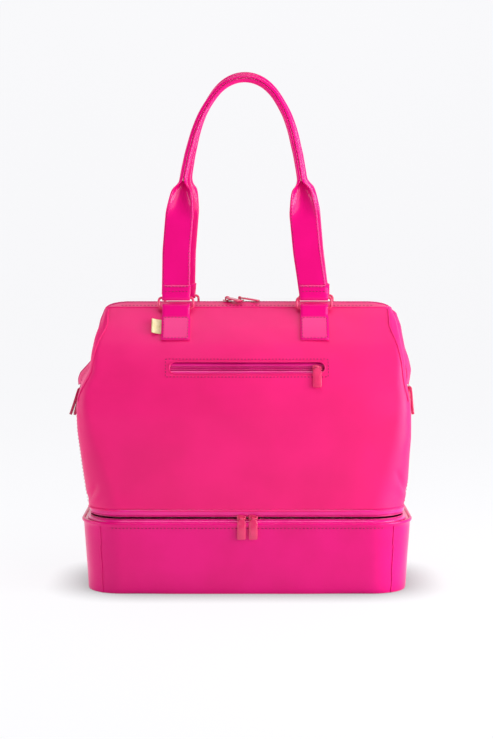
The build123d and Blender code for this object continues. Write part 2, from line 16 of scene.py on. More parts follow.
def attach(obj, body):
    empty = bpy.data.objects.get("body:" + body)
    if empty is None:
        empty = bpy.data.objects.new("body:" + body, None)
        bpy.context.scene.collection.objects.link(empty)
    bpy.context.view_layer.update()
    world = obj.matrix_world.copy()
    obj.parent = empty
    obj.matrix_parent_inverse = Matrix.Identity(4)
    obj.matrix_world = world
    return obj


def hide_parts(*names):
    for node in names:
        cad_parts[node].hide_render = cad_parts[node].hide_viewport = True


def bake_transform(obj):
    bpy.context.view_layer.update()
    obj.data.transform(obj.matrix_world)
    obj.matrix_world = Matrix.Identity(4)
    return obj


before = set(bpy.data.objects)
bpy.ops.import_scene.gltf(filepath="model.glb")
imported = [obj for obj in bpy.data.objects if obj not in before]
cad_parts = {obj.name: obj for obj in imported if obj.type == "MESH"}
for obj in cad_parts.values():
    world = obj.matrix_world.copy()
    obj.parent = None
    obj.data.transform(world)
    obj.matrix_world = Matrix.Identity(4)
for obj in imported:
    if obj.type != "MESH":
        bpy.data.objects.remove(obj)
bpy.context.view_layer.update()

# %% [markdown]
# ## Colour and nodes
# Colours are written as the sRGB hex that a colour picker shows. Shaders want linear light, so one
# function converts them. Materials are small node trees; one helper adds a node, sets it and links it.

# %% Colour and node helpers
MM = 0.001


def linear(hex_colour):
    """An sRGB hex colour as linear RGBA."""
    parts = [int(hex_colour[i : i + 2], 16) / 255 for i in (1, 3, 5)]
    return [c / 12.92 if c <= 0.04045 else ((c + 0.055) / 1.055) ** 2.4 for c in parts] + [1.0]


def add_node(tree, kind, settings=None, **sockets):
    """Adds a node. A socket is given a value, or an output socket to link from."""
    made = tree.nodes.new(kind)
    for key, value in (settings or {}).items():
        setattr(made, key, value)
    for key, value in sockets.items():
        place = (
            made.inputs[int(key[1:])] if key[0] == "i" and key[1:].isdigit()
            else made.inputs[key.replace("_", " ")]
        )
        if isinstance(value, bpy.types.NodeSocket):
            tree.links.new(value, place)
        else:
            place.default_value = value
    return made


def start_material(name):
    """A new material with its node tree, its shader and the object coordinates in metres."""
    material = bpy.data.materials.new(name)
    material.use_nodes = True
    tree = material.node_tree
    shader = tree.nodes["Principled BSDF"]
    place = add_node(tree, "ShaderNodeTexCoord").outputs["Object"]
    return material, tree, shader, place


def set_shader(shader, **values):
    """Sets uniform values straight on the shader's own sockets."""
    for key, value in values.items():
        shader.inputs[key.replace("_", " ")].default_value = value


def tint(tree, place, light, dark, size_mm, low=0.35, high=0.65):
    """A soft drift between two colours, with blotches of about the given size."""
    cloud = add_node(tree, "ShaderNodeTexNoise", Vector=place, Scale=1 / (size_mm * MM), Detail=3.0)
    spread = add_node(tree, "ShaderNodeMapRange", Value=cloud.outputs[0], i1=low, i2=high)
    mix = add_node(tree, "ShaderNodeMix", {"data_type": "RGBA"}, Factor=spread.outputs[0])
    mix.inputs[6].default_value = linear(dark)
    mix.inputs[7].default_value = linear(light)
    return mix.outputs[2]


def ripple(tree, place, axis, pitch_mm):
    """Ridges along one axis, as a sine of the position, a full wave for each pitch."""
    split = add_node(tree, "ShaderNodeSeparateXYZ", i0=place)
    scale = add_node(
        tree, "ShaderNodeMath", {"operation": "MULTIPLY"}, i0=split.outputs[axis],
        i1=math.tau / (pitch_mm * MM)
    )
    return add_node(tree, "ShaderNodeMath", {"operation": "SINE"}, i0=scale.outputs[0]).outputs[0]


def combine(tree, how, a, b):
    """A two-input math node."""
    return add_node(tree, "ShaderNodeMath", {"operation": how}, i0=a, i1=b).outputs[0]


def bump(tree, shader, height, depth_mm, strength=1.0):
    """Feeds a height, from about 0 to 1, to the shader's normal as bumps of the given depth."""
    made = add_node(tree, "ShaderNodeBump", Height=height, Distance=depth_mm * MM, Strength=strength)
    tree.links.new(made.outputs[0], shader.inputs["Normal"])


# %% [markdown]
# ## Fabrics
# The body is a tightly woven satin polyester. Its threads are about 0.4 mm apart, too fine to see at
# this distance, so the weave is drawn at 1.1 mm: just enough to break up the highlight. Going over
# and under is the product of two ripples. Which two depends on the way the cloth faces, so the
# surface normal picks between the front pair and the side pair. A little sheen lifts the edges, as
# filament yarn does.

# %% Woven fabrics
WEAVE_MM = 1.1


def weave_height(tree, place, pitch_mm):
    """A plain weave seen from the front and from the side, picked by the surface normal."""
    x, y, z = (ripple(tree, place, axis, pitch_mm) for axis in range(3))
    facing = add_node(
        tree, "ShaderNodeSeparateXYZ", i0=add_node(tree, "ShaderNodeNewGeometry").outputs["Normal"]
    )
    side = combine(tree, "ABSOLUTE", facing.outputs[0], 0.0)
    pick = add_node(tree, "ShaderNodeMix", {"data_type": "FLOAT"}, Factor=side)
    tree.links.new(combine(tree, "MULTIPLY", x, z), pick.inputs[2])
    tree.links.new(combine(tree, "MULTIPLY", y, z), pick.inputs[3])
    return pick.outputs[0]


def woven(
    name, light, dark, roughness, pitch_mm, depth_mm, sheen, sheen_hex, blotch_mm=90.0, specular=0.5
):
    """A dyed woven cloth."""
    material, tree, shader, place = start_material(name)
    tree.links.new(tint(tree, place, light, dark, blotch_mm), shader.inputs["Base Color"])
    bump(tree, shader, weave_height(tree, place, pitch_mm), depth_mm)
    set_shader(
        shader, Roughness=roughness, Sheen_Weight=sheen, Sheen_Roughness=0.4, Sheen_Tint=linear(sheen_hex)
    )
    shader.inputs["Specular IOR Level"].default_value = specular
    return material


satin_polyester = woven(
    "satin woven polyester", "#F01C78", "#E61A70", 0.42, WEAVE_MM, 0.035, 0.14, "#FF5FB4", specular=0.22
)
lining_cloth = woven("plain woven lining", "#DCCFBF", "#D2C4B2", 0.7, 1.4, 0.06, 0.15, "#FFFFFF", 60.0)
label_cloth = woven("cream woven label", "#EFE0B4", "#DDC98F", 0.75, 0.9, 0.10, 0.1, "#FFFFFF", 6.0)
core_cord = woven("twisted cotton cord", "#E8E0D4", "#CFC4B4", 0.85, 2.2, 0.3, 0.1, "#FFFFFF", 8.0)
print("fabrics made")

# %% [markdown]
# ## Coated, moulded and metal finishes
# The base, chapes and handles are cloth with a glossy polyurethane coat, so they have a smooth coat
# layer over a barely grained skin. The rings and zip hardware are die-cast zinc with a pink enamel
# paint: a dielectric, so metallic stays 0. The coil is drawn nylon, the board polyethylene, and the
# hidden frame bright spring steel, the only bare metal.

# %% Coated and hard finishes


def coated(
    name, light, dark, roughness, coat, coat_roughness, grain_mm, grain_depth_mm, blotch_mm=60.0,
    specular=0.3
):
    """A smooth skin with a clear coat and a fine random grain."""
    material, tree, shader, place = start_material(name)
    tree.links.new(tint(tree, place, light, dark, blotch_mm), shader.inputs["Base Color"])
    grain = add_node(tree, "ShaderNodeTexNoise", Vector=place, Scale=1 / (grain_mm * MM), Detail=2.0)
    bump(tree, shader, grain.outputs[0], grain_depth_mm)
    set_shader(shader, Roughness=roughness, Coat_Weight=coat, Coat_Roughness=coat_roughness)
    shader.inputs["Specular IOR Level"].default_value = specular
    return material


gloss_polyurethane = coated(
    "gloss polyurethane coat", "#EA047E", "#E20376", 0.30, 0.22, 0.08, 1.4, 0.02, specular=0.14
)
gloss_tape = coated("coated zip tape", "#EE1890", "#E41084", 0.30, 0.35, 0.12, 1.6, 0.04, 30.0)
tab_polyurethane = coated(
    "dark gloss polyurethane", "#C2185A", "#B01350", 0.26, 0.8, 0.08, 1.4, 0.02, 20.0
)
enamelled_zinc = coated("enamelled zinc", "#E5316B", "#DB2A62", 0.28, 0.6, 0.06, 2.5, 0.01, 15.0)
nylon_coil = coated("drawn nylon coil", "#D8187A", "#CA126C", 0.34, 0.3, 0.2, 1.0, 0.02, 8.0)
sewing_thread = coated("polyester sewing thread", "#B00A58", "#98084C", 0.5, 0.0, 0.3, 0.5, 0.05, 5.0)
polyethylene_board = coated("polyethylene board", "#1F1F20", "#191919", 0.5, 0.0, 0.3, 1.2, 0.05)


def spring_steel_finish():
    """Bright rolled steel with fine lines along the bar."""
    material, tree, shader, place = start_material("bright spring steel")
    stretch = add_node(tree, "ShaderNodeMapping", Vector=place, Scale=(60.0, 2500.0, 60.0))
    lines = add_node(tree, "ShaderNodeTexNoise", Vector=stretch.outputs[0], Scale=1.0, Detail=2.0)
    rough = add_node(tree, "ShaderNodeMapRange", Value=lines.outputs[0], i3=0.22, i4=0.4)
    tree.links.new(rough.outputs[0], shader.inputs["Roughness"])
    set_shader(shader, Metallic=1.0)
    shader.inputs["Base Color"].default_value = linear("#B9BBBF")
    return material


spring_steel = spring_steel_finish()
print("hard finishes made")

# %% [markdown]
# ## Mesh tools
# Almost every soft piece is a sheet or a bar, so it can be lofted: rings or rows of points are joined
# by quads. A cut-out prism with bevelled edges makes the hardware. Each helper returns one object
# with one material.

# %% Mesh tools


def make_object(name, points, faces, material, smooth=True):
    """One mesh object in the row frame."""
    mesh = bpy.data.meshes.new(name)
    mesh.from_pydata([tuple(p) for p in points], [], faces)
    mesh.materials.append(material)
    mesh.polygons.foreach_set("use_smooth", [smooth] * len(mesh.polygons))
    mesh.update()
    made = bpy.data.objects.new(name, mesh)
    bpy.context.scene.collection.objects.link(made)
    return made


def loft(name, rows, material, closed_row=False, closed_rows=False, caps=False):
    """Joins equal rows of points with quads; caps closes the first and last ring."""
    count = len(rows[0])
    points = [p for row in rows for p in row]
    faces = []
    for i in range(len(rows) if closed_rows else len(rows) - 1):
        j = (i + 1) % len(rows)
        for k in range(count if closed_row else count - 1):
            m = (k + 1) % count
            faces.append((i * count + k, i * count + m, j * count + m, j * count + k))
    if caps:
        faces.append(tuple(reversed(range(count))))
        faces.append(tuple(range((len(rows) - 1) * count, len(rows) * count)))
    return make_object(name, points, faces, material)


def modify(thing, kind, **settings):
    """Adds a modifier with its settings."""
    made = thing.modifiers.new(kind.lower(), kind)
    for key, value in settings.items():
        setattr(made, key, value)
    return thing


def thicken(thing, thickness_mm):
    """Gives a sheet its thickness, on the inner side of its outer face."""
    return modify(thing, "SOLIDIFY", thickness=thickness_mm * MM, offset=-1.0)


def apply_all(thing):
    """Replaces the mesh by what its modifiers make."""
    graph = bpy.context.evaluated_depsgraph_get()
    made = bpy.data.meshes.new_from_object(thing.evaluated_get(graph))
    thing.modifiers.clear()
    thing.data = made
    return thing


def join(name, things):
    """Joins objects into one, with their modifiers applied."""
    points, faces, smooth, slots, used = [], [], [], [], []
    graph = bpy.context.evaluated_depsgraph_get()
    for thing in things:
        mesh = bpy.data.meshes.new_from_object(thing.evaluated_get(graph))
        base = len(points)
        points += [thing.matrix_world @ v.co for v in mesh.vertices]
        material = thing.data.materials[0]
        if material not in used:
            used.append(material)
        for face in mesh.polygons:
            faces.append(tuple(base + v for v in face.vertices))
            smooth.append(face.use_smooth)
            slots.append(used.index(material))
        bpy.data.objects.remove(thing)
    made = make_object(name, points, faces, used[0])
    for material in used[1:]:
        made.data.materials.append(material)
    made.data.polygons.foreach_set("use_smooth", smooth)
    made.data.polygons.foreach_set("material_index", slots)
    made.data.update()
    return made


def prism(name, outline, thickness, place, material, bevel=0.0, segments=3):
    """An outline in millimetres, extruded evenly about its plane, with rounded edges."""
    half = thickness / 2
    points = [place @ Vector((x * MM, y * MM, z * MM)) for z in (-half, half) for x, y in outline]
    count = len(outline)
    faces = [tuple(reversed(range(count))), tuple(range(count, 2 * count))]
    faces += [(k, (k + 1) % count, count + (k + 1) % count, count + k) for k in range(count)]
    made = make_object(name, points, faces, material)
    if bevel:
        modify(made, "BEVEL", width=bevel * MM, segments=segments, limit_method="ANGLE", angle_limit=0.6)
    modify(made, "WEIGHTED_NORMAL", keep_sharp=True)
    return made


def rounded_rectangle(width, height, radius, steps=6):
    """An outline in millimetres, anticlockwise from the lower right corner."""
    points = []
    for sx, sy, turn in ((1, -1, -90), (1, 1, 0), (-1, 1, 90), (-1, -1, 180)):
        for step in range(steps + 1):
            angle = math.radians(turn + 90 * step / steps)
            points.append(
                (
                    sx * (width / 2 - radius) + radius * math.cos(angle),
                    sy * (height / 2 - radius) + radius * math.sin(angle),
                )
            )
    return points


def bar(name, path, radius_mm, material, closed=False, sides=10):
    """A round bar along a flat or gently bent path of points."""
    rings = []
    for i, p in enumerate(path):
        before = path[i - 1] if i or closed else p
        after = path[(i + 1) % len(path)] if i + 1 < len(path) or closed else p
        run = (after - before).normalized()
        side = run.cross(Vector((0, 1, 0)) if abs(run.y) < 0.9 else Vector((1, 0, 0))).normalized()
        up = side.cross(run)
        rings.append(
            [
                p + radius_mm * MM * (
                    side * math.cos(math.tau * k / sides) + up * math.sin(math.tau * k / sides)
                )
                for k in range(sides)
            ]
        )
    return loft(name, rings, material, closed_row=True, closed_rows=closed, caps=not closed)


def stitches(
    name, path, outward, material=None, length_mm=2.9, pitch_mm=4.8, width_mm=1.25, lift_mm=0.45
):
    """A row of thread stitches along a path; outward gives the surface normal at each point."""
    lengths = [0.0]
    for a, b in zip(path, path[1:]):
        lengths.append(lengths[-1] + (b - a).length)
    points, faces = [], []
    count = max(1, int(lengths[-1] / (pitch_mm * MM)))
    for i in range(count):
        middle = (i + 0.5) * lengths[-1] / count
        k = max(j for j in range(len(path) - 1) if lengths[j] <= middle)
        share = (middle - lengths[k]) / max(lengths[k + 1] - lengths[k], 1e-9)
        p = path[k].lerp(path[k + 1], share)
        run = (path[k + 1] - path[k]).normalized()
        out = outward[k].lerp(outward[k + 1], share).normalized()
        across = run.cross(out).normalized()
        base = len(points)
        half, wide = length_mm * MM / 2, width_mm * MM / 2
        for along, spread, rise in (
            (-1, 0.4, 0.0), (-0.6, 1, 0.7), (0, 1, 1), (0.6, 1, 0.7), (1, 0.4, 0.0)
        ):
            for s, h in ((-1, -0.6), (-0.6, 0.6), (0.6, 0.6), (1, -0.6)):
                points.append(
                    p
                    + run * (half * along)
                    + across * (wide * spread * s)
                    + out * (lift_mm * MM * (rise - 0.4) + wide * 0.5 * h * spread)
                )
        for r in range(4):
            for c in range(4):
                d = (c + 1) % 4
                faces.append(
                    (base + 4 * r + c, base + 4 * r + d, base + 4 * r + 4 + d, base + 4 * r + 4 + c)
                )
        faces.append((base + 3, base + 2, base + 1, base))
        faces.append((base + 16, base + 17, base + 18, base + 19))
    return make_object(name, points, faces, material or sewing_thread)


def place_on(piece, body, slot, *nodes):
    """Hangs a piece on a body and hides the mechanical nodes it stands for; the finish slot is not used.
    """
    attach(piece, body)
    if nodes:
        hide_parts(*nodes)
    return piece


print("mesh tools ready")

# %% [markdown]
# ## The body's outer surface
# A sewn tote is not a box: it is widest low down, its front crowns forward, and above the zip ends
# both halves lean together until they meet under the zip. Sculpting that by eye would be hard to
# repeat, so the surface is a stack of level sections. Short tables give the depth, the half width at
# the front fold, the half width at the zip, and the fold's radius against height. Each table is
# averaged over a few millimetres, which rounds its corners the way cloth does.

# %% Section tables: height and value, in millimetres
DEPTH = [
    (115, 97), (160, 99), (200, 100), (240, 98), (270, 93), (290, 86), (310, 77), (330, 66), (350, 52)
]
DEPTH += [(367, 38), (379, 26), (382, 22)]
FOLD = {
    -1: [(120, 206), (140, 210), (175, 215), (217, 220), (248, 221), (263, 218.8), (270, 216), (283, 209)]
    + [(294, 203), (318, 201), (338, 197), (359, 191), (374, 186), (378, 183.5), (380, 179)],
    1: [(122, 204.6), (150, 209), (180, 210), (209, 212), (243, 211), (261, 209), (276, 205), (291, 203)]
    + [(307, 202.5), (337, 198.5), (361, 194), (374, 189), (378, 186.5), (380, 182)],
}
EDGE = {
    -1: [
        (120, 206.6), (140, 210), (175, 215), (217, 220.5), (264, 222.6), (280, 223.4), (288, 220.6),
        (295, 214)
    ]
    + [(302, 207.5), (307, 204), (320, 201.5), (338, 198), (359, 193), (374, 186.5)],
    1: [
        (122, 205.4), (150, 209.6), (180, 211), (209, 212), (264, 212.6), (278, 215), (292, 217),
        (307, 213.5)
    ]
    + [(321, 208.5), (335, 205.5), (350, 203), (369, 196), (377, 190)],
}
FOLD_RADIUS = [(115, 46), (150, 40), (200, 28), (270, 14), (300, 10), (380, 8)]
CROWN = [(115, 1), (140, 5), (200, 8), (290, 8), (340, 5), (380, 1)]
SIDE_DIP = [(255, 0), (300, 5), (330, 9), (355, 8), (374, 3), (380, 0)]
BODY_BOTTOM, BODY_TOP = 118.6, 376.0
BLUR = 4.0


def read_table(table, z, blur=BLUR):
    """A table's value at a height, averaged over a few millimetres on both sides."""
    total = 0.0
    for step in (-1, -0.5, 0, 0.5, 1):
        at = min(max(z + step * blur, table[0][0]), table[-1][0])
        for (z0, v0), (z1, v1) in zip(table, table[1:]):
            if at <= z1:
                total += v0 + (v1 - v0) * (at - z0) / (z1 - z0)
                break
    return total / 5


def half_section(z, end, inset=0.0):
    """From the zip side (y 0) round the fold to the middle of the front, as (x, y) in millimetres."""
    depth = read_table(DEPTH, z) - inset
    crown = read_table(CROWN, z)
    fold = read_table(FOLD[end], z) - inset
    edge = read_table(EDGE[end], z) - inset
    dip = read_table(SIDE_DIP, z)
    corner = Vector((end * fold, -(depth - crown)))
    side = Vector((end * edge, 0.0)) - corner
    radius = min(read_table(FOLD_RADIUS, z) - 0.5 * inset, 0.7 * side.length, 0.5 * fold)
    a = corner + side.normalized() * radius
    b = corner + Vector((-end * radius, -crown * (1 - (1 - radius / fold) ** 2)))
    points = []
    for i in range(24):
        t = i / 24
        p = Vector((end * edge, 0.0)).lerp(a, t)
        points.append(Vector((p.x - end * dip * math.sin(math.pi * t) ** 1.3, p.y)))
    for i in range(16):
        t = i / 16
        c0, c1 = a.lerp(corner, 0.5523), b.lerp(corner, 0.5523)
        points.append((1 - t) ** 3 * a + 3 * t * (1 - t) ** 2 * c0 + 3 * t * t * (1 - t) * c1 + t**3 * b)
    for i in range(41):
        x = (1 - i / 40) * (fold - radius)
        points.append(Vector((end * x, -depth + crown * (x / fold) ** 2)))
    return points


def resample(points, count, start=0.0, stop=None):
    """Evenly spaced points along a polyline between two distances."""
    lengths = [0.0]
    for a, b in zip(points, points[1:]):
        lengths.append(lengths[-1] + (b - a).length)
    stop = lengths[-1] if stop is None else min(stop, lengths[-1])
    made, k = [], 0
    for i in range(count):
        at = start + (stop - start) * i / (count - 1)
        while k < len(points) - 2 and lengths[k + 1] < at:
            k += 1
        share = (at - lengths[k]) / max(lengths[k + 1] - lengths[k], 1e-9)
        made.append(points[k].lerp(points[k + 1], share))
    return made


def spaced(low, high, step):
    """Heights from low to high, about a step apart."""
    count = max(2, round((high - low) / step) + 1)
    return [low + (high - low) * i / (count - 1) for i in range(count)]


SEAM_LOW, SEAM_HIGH = 50.0, 20.0  # how far from the zip line the front cloth starts, below and above


def seam_distance(z):
    """The front cloth's edge runs down the side at 50 mm, and closes to 20 mm at the mouth."""
    t = min(max((z - 245) / 35, 0), 1)
    return SEAM_LOW + (SEAM_HIGH - SEAM_LOW) * t * t * (3 - 2 * t)


def panel_row(z, side, count, inset=0.0, start=None):
    """One level row of a front (-1) or rear (1) panel, from its left edge to its right edge."""
    first = seam_distance(z) if start is None else start
    half = count // 2
    row = []
    for end in (-1, 1):
        part = resample(half_section(z, end, inset), half + 1, first)
        row += part if end < 0 else list(reversed(part))[1:]
    return [Vector((p.x * MM, -side * p.y * MM, z * MM)) for p in row]


print(
    "body section at the belly:", [round(v, 1) for v in half_section(200, -1)[0]], "to",
    round(half_section(200, -1)[-1].y, 1)
)

# %% [markdown]
# ## Cloth that creases and hangs
# The panels are sheets held all round by seams, so a simulation would move them very little. What
# the eye reads as cloth is slow unevenness, a few millimetres deep and a hand wide, and short creases
# where the body pulls in at the corners. Both are made by moving points along their normals: smooth
# noise for the first, and a soft groove round a line for the second.

# %% Unevenness and creases
# each crease: start (x, z), end (x, z), depth and width in millimetres
FRONT_CREASES = [
    ((-194, 149), (-206, 129), 2.6, 3.2),
    ((-188, 140), (-203, 122), -1.2, 4.0),
    ((193, 166), (205, 138), 2.4, 3.4),
    ((196, 150), (206, 128), -1.4, 4.0),
    ((-189, 371), (-192, 338), 2.2, 3.0),
    ((190, 371), (194, 340), 1.3, 3.0),
    ((-75, 372), (-40, 352), 0.7, 9.0),
    ((40, 372), (66, 358), 0.7, 9.0),
    ((118, 366), (150, 352), 0.9, 12.0),
    ((-150, 366), (-122, 350), 0.8, 12.0),
]


def groove(x, z, start, end, depth, width):
    """How far a crease sinks the cloth at a point, in millimetres."""
    a, b, p = Vector(start), Vector(end), Vector((x, z))
    run = b - a
    t = min(max((p - a).dot(run) / run.length_squared, 0), 1)
    gap = (p - (a + run * t)).length / width
    return depth * math.exp(-gap * gap) * math.sin(math.pi * min(max(0.15 + 0.7 * t, 0), 1))


def crumple(thing, amount_mm, size_mm, seed=0.0, creases=(), calm=None):
    """Moves points along their normals by smooth noise and creases; calm fades it out by height."""
    mesh = thing.data
    moves = []
    for v in mesh.vertices:
        p = v.co / MM
        fade = (
            1.0 if calm is None
            else min(max((p.z - calm[0]) / 14, 0), 1) * min(max((calm[1] - p.z) / 14, 0), 1)
        )
        q = Vector((p.x, p.y * 1.4, p.z * 0.8)) / size_mm + Vector((seed, seed * 0.7, 0))
        move = amount_mm * fade * (noise.noise(q) + 0.4 * noise.noise(q * 2.3))
        for crease in creases:
            if p.y < 0:
                move -= groove(p.x, p.z, *crease)
        moves.append(v.normal * move * MM)
    for v, move in zip(mesh.vertices, moves):
        v.co += move
    mesh.update()
    return thing


# %% [markdown]
# ## Front and rear panels
# Each is one piece of satin cloth from the base zip to the top zip, wrapping round the fold onto the
# side. It is baked in place on no body, so it does not follow the mouth when the bag opens.

# %% Front and rear panels
COLUMNS, ROW_STEP = 216, 3.0
CLOTH = 1.2
rows_z = spaced(BODY_BOTTOM, 368, ROW_STEP) + [370.0, 372.0, 373.6, 374.8, 375.5, BODY_TOP]
SIDE_NAME = {-1: "front", 1: "rear"}


def outward_rows(rows, side):
    """The rows in the order that makes the normals point out."""
    return rows if side < 0 else [list(reversed(row)) for row in rows]


def cloth_bend(piece, side, slot, *nodes):
    """Bakes a panel in place, on no body, and hides the mechanical nodes it stands for."""
    piece.parent = None
    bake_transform(piece)
    if nodes:
        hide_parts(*nodes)
    return piece
POCKET_LOW, POCKET_HIGH = 293.6, 307.6


def pocket_hole(row_z, p):
    """True where the pocket's slot is cut: an opening 14 mm high and about 200 mm long."""
    half = 100.0 - 7.0 + math.sqrt(max(7.0**2 - (row_z - 300.6) ** 2, 0))
    return abs(p.x) < half * MM and POCKET_LOW < row_z < POCKET_HIGH


def cloth_panel(side):
    """A panel with the pocket's slot left out of the front one."""
    count = COLUMNS + 1
    rows = outward_rows([panel_row(z, side, COLUMNS) for z in panel_z(side)], side)
    points = [p for row in rows for p in row]
    faces = []
    for i in range(len(rows) - 1):
        middle = (rows[i][0].z + rows[i + 1][0].z) / 2 / MM
        for k in range(count - 1):
            centre = (rows[i][k] + rows[i][k + 1]) / 2
            if side < 0 and pocket_hole(middle, centre):
                continue
            faces.append((i * count + k, i * count + k + 1, (i + 1) * count + k + 1, (i + 1) * count + k))
    name = f"{SIDE_NAME[side]}_panel"
    panel = make_object(name, points, faces, satin_polyester)
    creases = FRONT_CREASES if side < 0 else ()
    crumple(panel, 1.5, 105, 3.0 + side, creases, (BODY_BOTTOM + 3, 366))
    thicken(panel, CLOTH)
    return apply_all(panel)


def panel_z(side):
    """The heights of a panel's rows, with rows on both edges of the pocket's slot."""
    if side > 0:
        return rows_z
    slot_rows = spaced(POCKET_LOW, POCKET_HIGH, 1.6)
    return sorted([z for z in rows_z if not POCKET_LOW - 1.5 < z < POCKET_HIGH + 1.5] + slot_rows)


front_panel = cloth_bend(cloth_panel(-1), -1, "body_fabric", "front_body_panel", "front_mouth_panel")
rear_panel = cloth_bend(cloth_panel(1), 1, "body_fabric", "rear_body_panel", "rear_mouth_panel")
print("panels:", len(front_panel.data.vertices), "and", len(rear_panel.data.vertices), "points")

# %% [markdown]
# ## Side gussets
# Between the panels each side has a gusset that stays with the body. It runs a little under the
# panels' edges, as a seam allowance does, so that the panels can slide over it when the mouth opens.

# %% Gussets
GUSSET_TUCK, GUSSET_REACH, GUSSET_TOP = 1.5, 59.0, 296.0


def gusset(end):
    """One side gusset, from the base zip to the ear."""
    rows = []
    for z in spaced(BODY_BOTTOM, GUSSET_TOP, 3.5):
        reach = min(GUSSET_REACH, seam_distance(z) + 16)
        part = resample(half_section(z, end, GUSSET_TUCK), 22, 0.0, reach)
        row = [Vector((p.x, -p.y, z)) for p in reversed(part[1:])] + [Vector((p.x, p.y, z)) for p in part]
        rows.append([p * MM for p in (row if end < 0 else reversed(row))])
    made = loft(f"{END_NAME[end]}_side_gusset", rows, satin_polyester)
    crumple(made, 1.0, 80, 9.0 + end, (), (BODY_BOTTOM + 3, GUSSET_TOP - 10))
    thicken(made, CLOTH)
    apply_all(made)
    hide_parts(f"{END_NAME[end]}_gusset")
    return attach(made, "upper_body")


END_NAME = {-1: "left", 1: "right"}
for end in (-1, 1):
    gusset(end)

# %% [markdown]
# ## Panel seams
# The front cloth is topstitched to the gusset along its edge. The stitches are real little threads,
# baked in place like the panel.

# %% Side seam stitches


def row_frame(z, side, end, distance, inset=-0.4):
    """A point on the panel at a distance from the zip line, and the way out of the cloth there."""
    part = half_section(z, end, inset)
    a, b = resample(part, 2, distance, distance + 1.0)
    run = (b - a).normalized()
    out = Vector((run.y * end, -run.x * end)) * (1 if end < 0 else 1)
    if out.x * end < 0 and abs(out.x) > abs(out.y):
        out = -out
    return Vector((a.x, -side * a.y, z)) * MM, Vector((out.x, -side * out.y, 0.0))


for side in (-1, 1):
    pieces = []
    for end in (-1, 1):
        track = [row_frame(z, side, end, seam_distance(z) + 4) for z in spaced(BODY_BOTTOM + 4, 366, 4)]
        pieces.append(stitches(f"seam_{side}_{end}", [t[0] for t in track], [t[1] for t in track]))
    cloth_bend(join(f"{SIDE_NAME[side]}_side_seam_stitches", pieces), side, "body_fabric")
print("seams stitched")

# %% [markdown]
# ## The top zip
# A strip of the same cloth closes each half towards the middle, and carries a nylon coil. Both run in
# a U: up one ear, across the top and down the other. The strip is lofted from the panel's own edge to
# the coil's line, so there is no gap between them. The coil is a tube whose radius swells once for
# each tooth.

# %% Top zip strips and coils
TOOTH_MM = 2.0
ZIP_LOW, ZIP_TOP, ZIP_HALF = 272.0, 381.6, 3.3
ZIP_CORNER = [
    (371.5, 187.8), (374.5, 185.8), (377.2, 182.0), (379.3, 176.0), (380.7, 168.0), (381.4, 159.0)
]


def zip_line(end):
    """The zip's line up one side and round the top corner, as (x, z) in millimetres."""
    line = [Vector((end * read_table(EDGE[end], z, 1.5), z)) for z in spaced(ZIP_LOW, 367, 4)]
    wider = 3.0 if end > 0 else 0.0
    return line + [Vector((end * (x + wider), z)) for z, x in ZIP_CORNER]


def zip_edges(side):
    """The panel's top edge and the coil's line, as two equal rows of points."""
    sill, coil = [], []
    for end in (-1, 1):
        part = []
        for z in [z for z in panel_z(side) if z >= ZIP_LOW]:
            p = resample(half_section(z, end), 2, seam_distance(z))[0]
            part.append(Vector((p.x, p.y, z)))
        line = [Vector((p.x, -ZIP_HALF, p.y)) for p in zip_line(end)]
        sill_part, coil_part = resample(part, 70), resample(line, 70)
        top = resample(half_section(BODY_TOP, end), 60, seam_distance(BODY_TOP))
        sill_top = [Vector((p.x, p.y, BODY_TOP)) for p in top]
        coil_top = resample([line[-1], Vector((0, -ZIP_HALF, ZIP_TOP))], 60)
        sill.append(sill_part + sill_top[1:])
        coil.append(coil_part + coil_top[1:])
    edges = []
    for left, right in (sill, coil):
        whole = left + right[::-1][1:]
        edges.append([Vector((p.x, -side * p.y, p.z)) for p in whole])
    return edges


def tooth_tube(name, path, radius_mm, material, wide=1.0, flat=Vector((0, 1, 0))):
    """A zip coil: a tube that swells and narrows once for each tooth."""
    lengths = sum((b - a).length for a, b in zip(path, path[1:]))
    count = int(lengths / TOOTH_MM) * 3
    line = resample(path, count)
    rings = []
    for i, p in enumerate(line):
        run = (line[min(i + 1, count - 1)] - line[max(i - 1, 0)]).normalized()
        out = run.cross(flat).normalized()
        across = out.cross(run).normalized()
        swell = (1.0, 0.94, 0.62)[i % 3] * radius_mm
        rings.append(
            [
                (
                    p + swell * (
                        wide * across * math.cos(math.tau * k / 8) + out * math.sin(math.tau * k / 8)
                    )
                ) * MM
                for k in range(8)
            ]
        )
    return loft(name, rings, material, closed_row=True, caps=True)


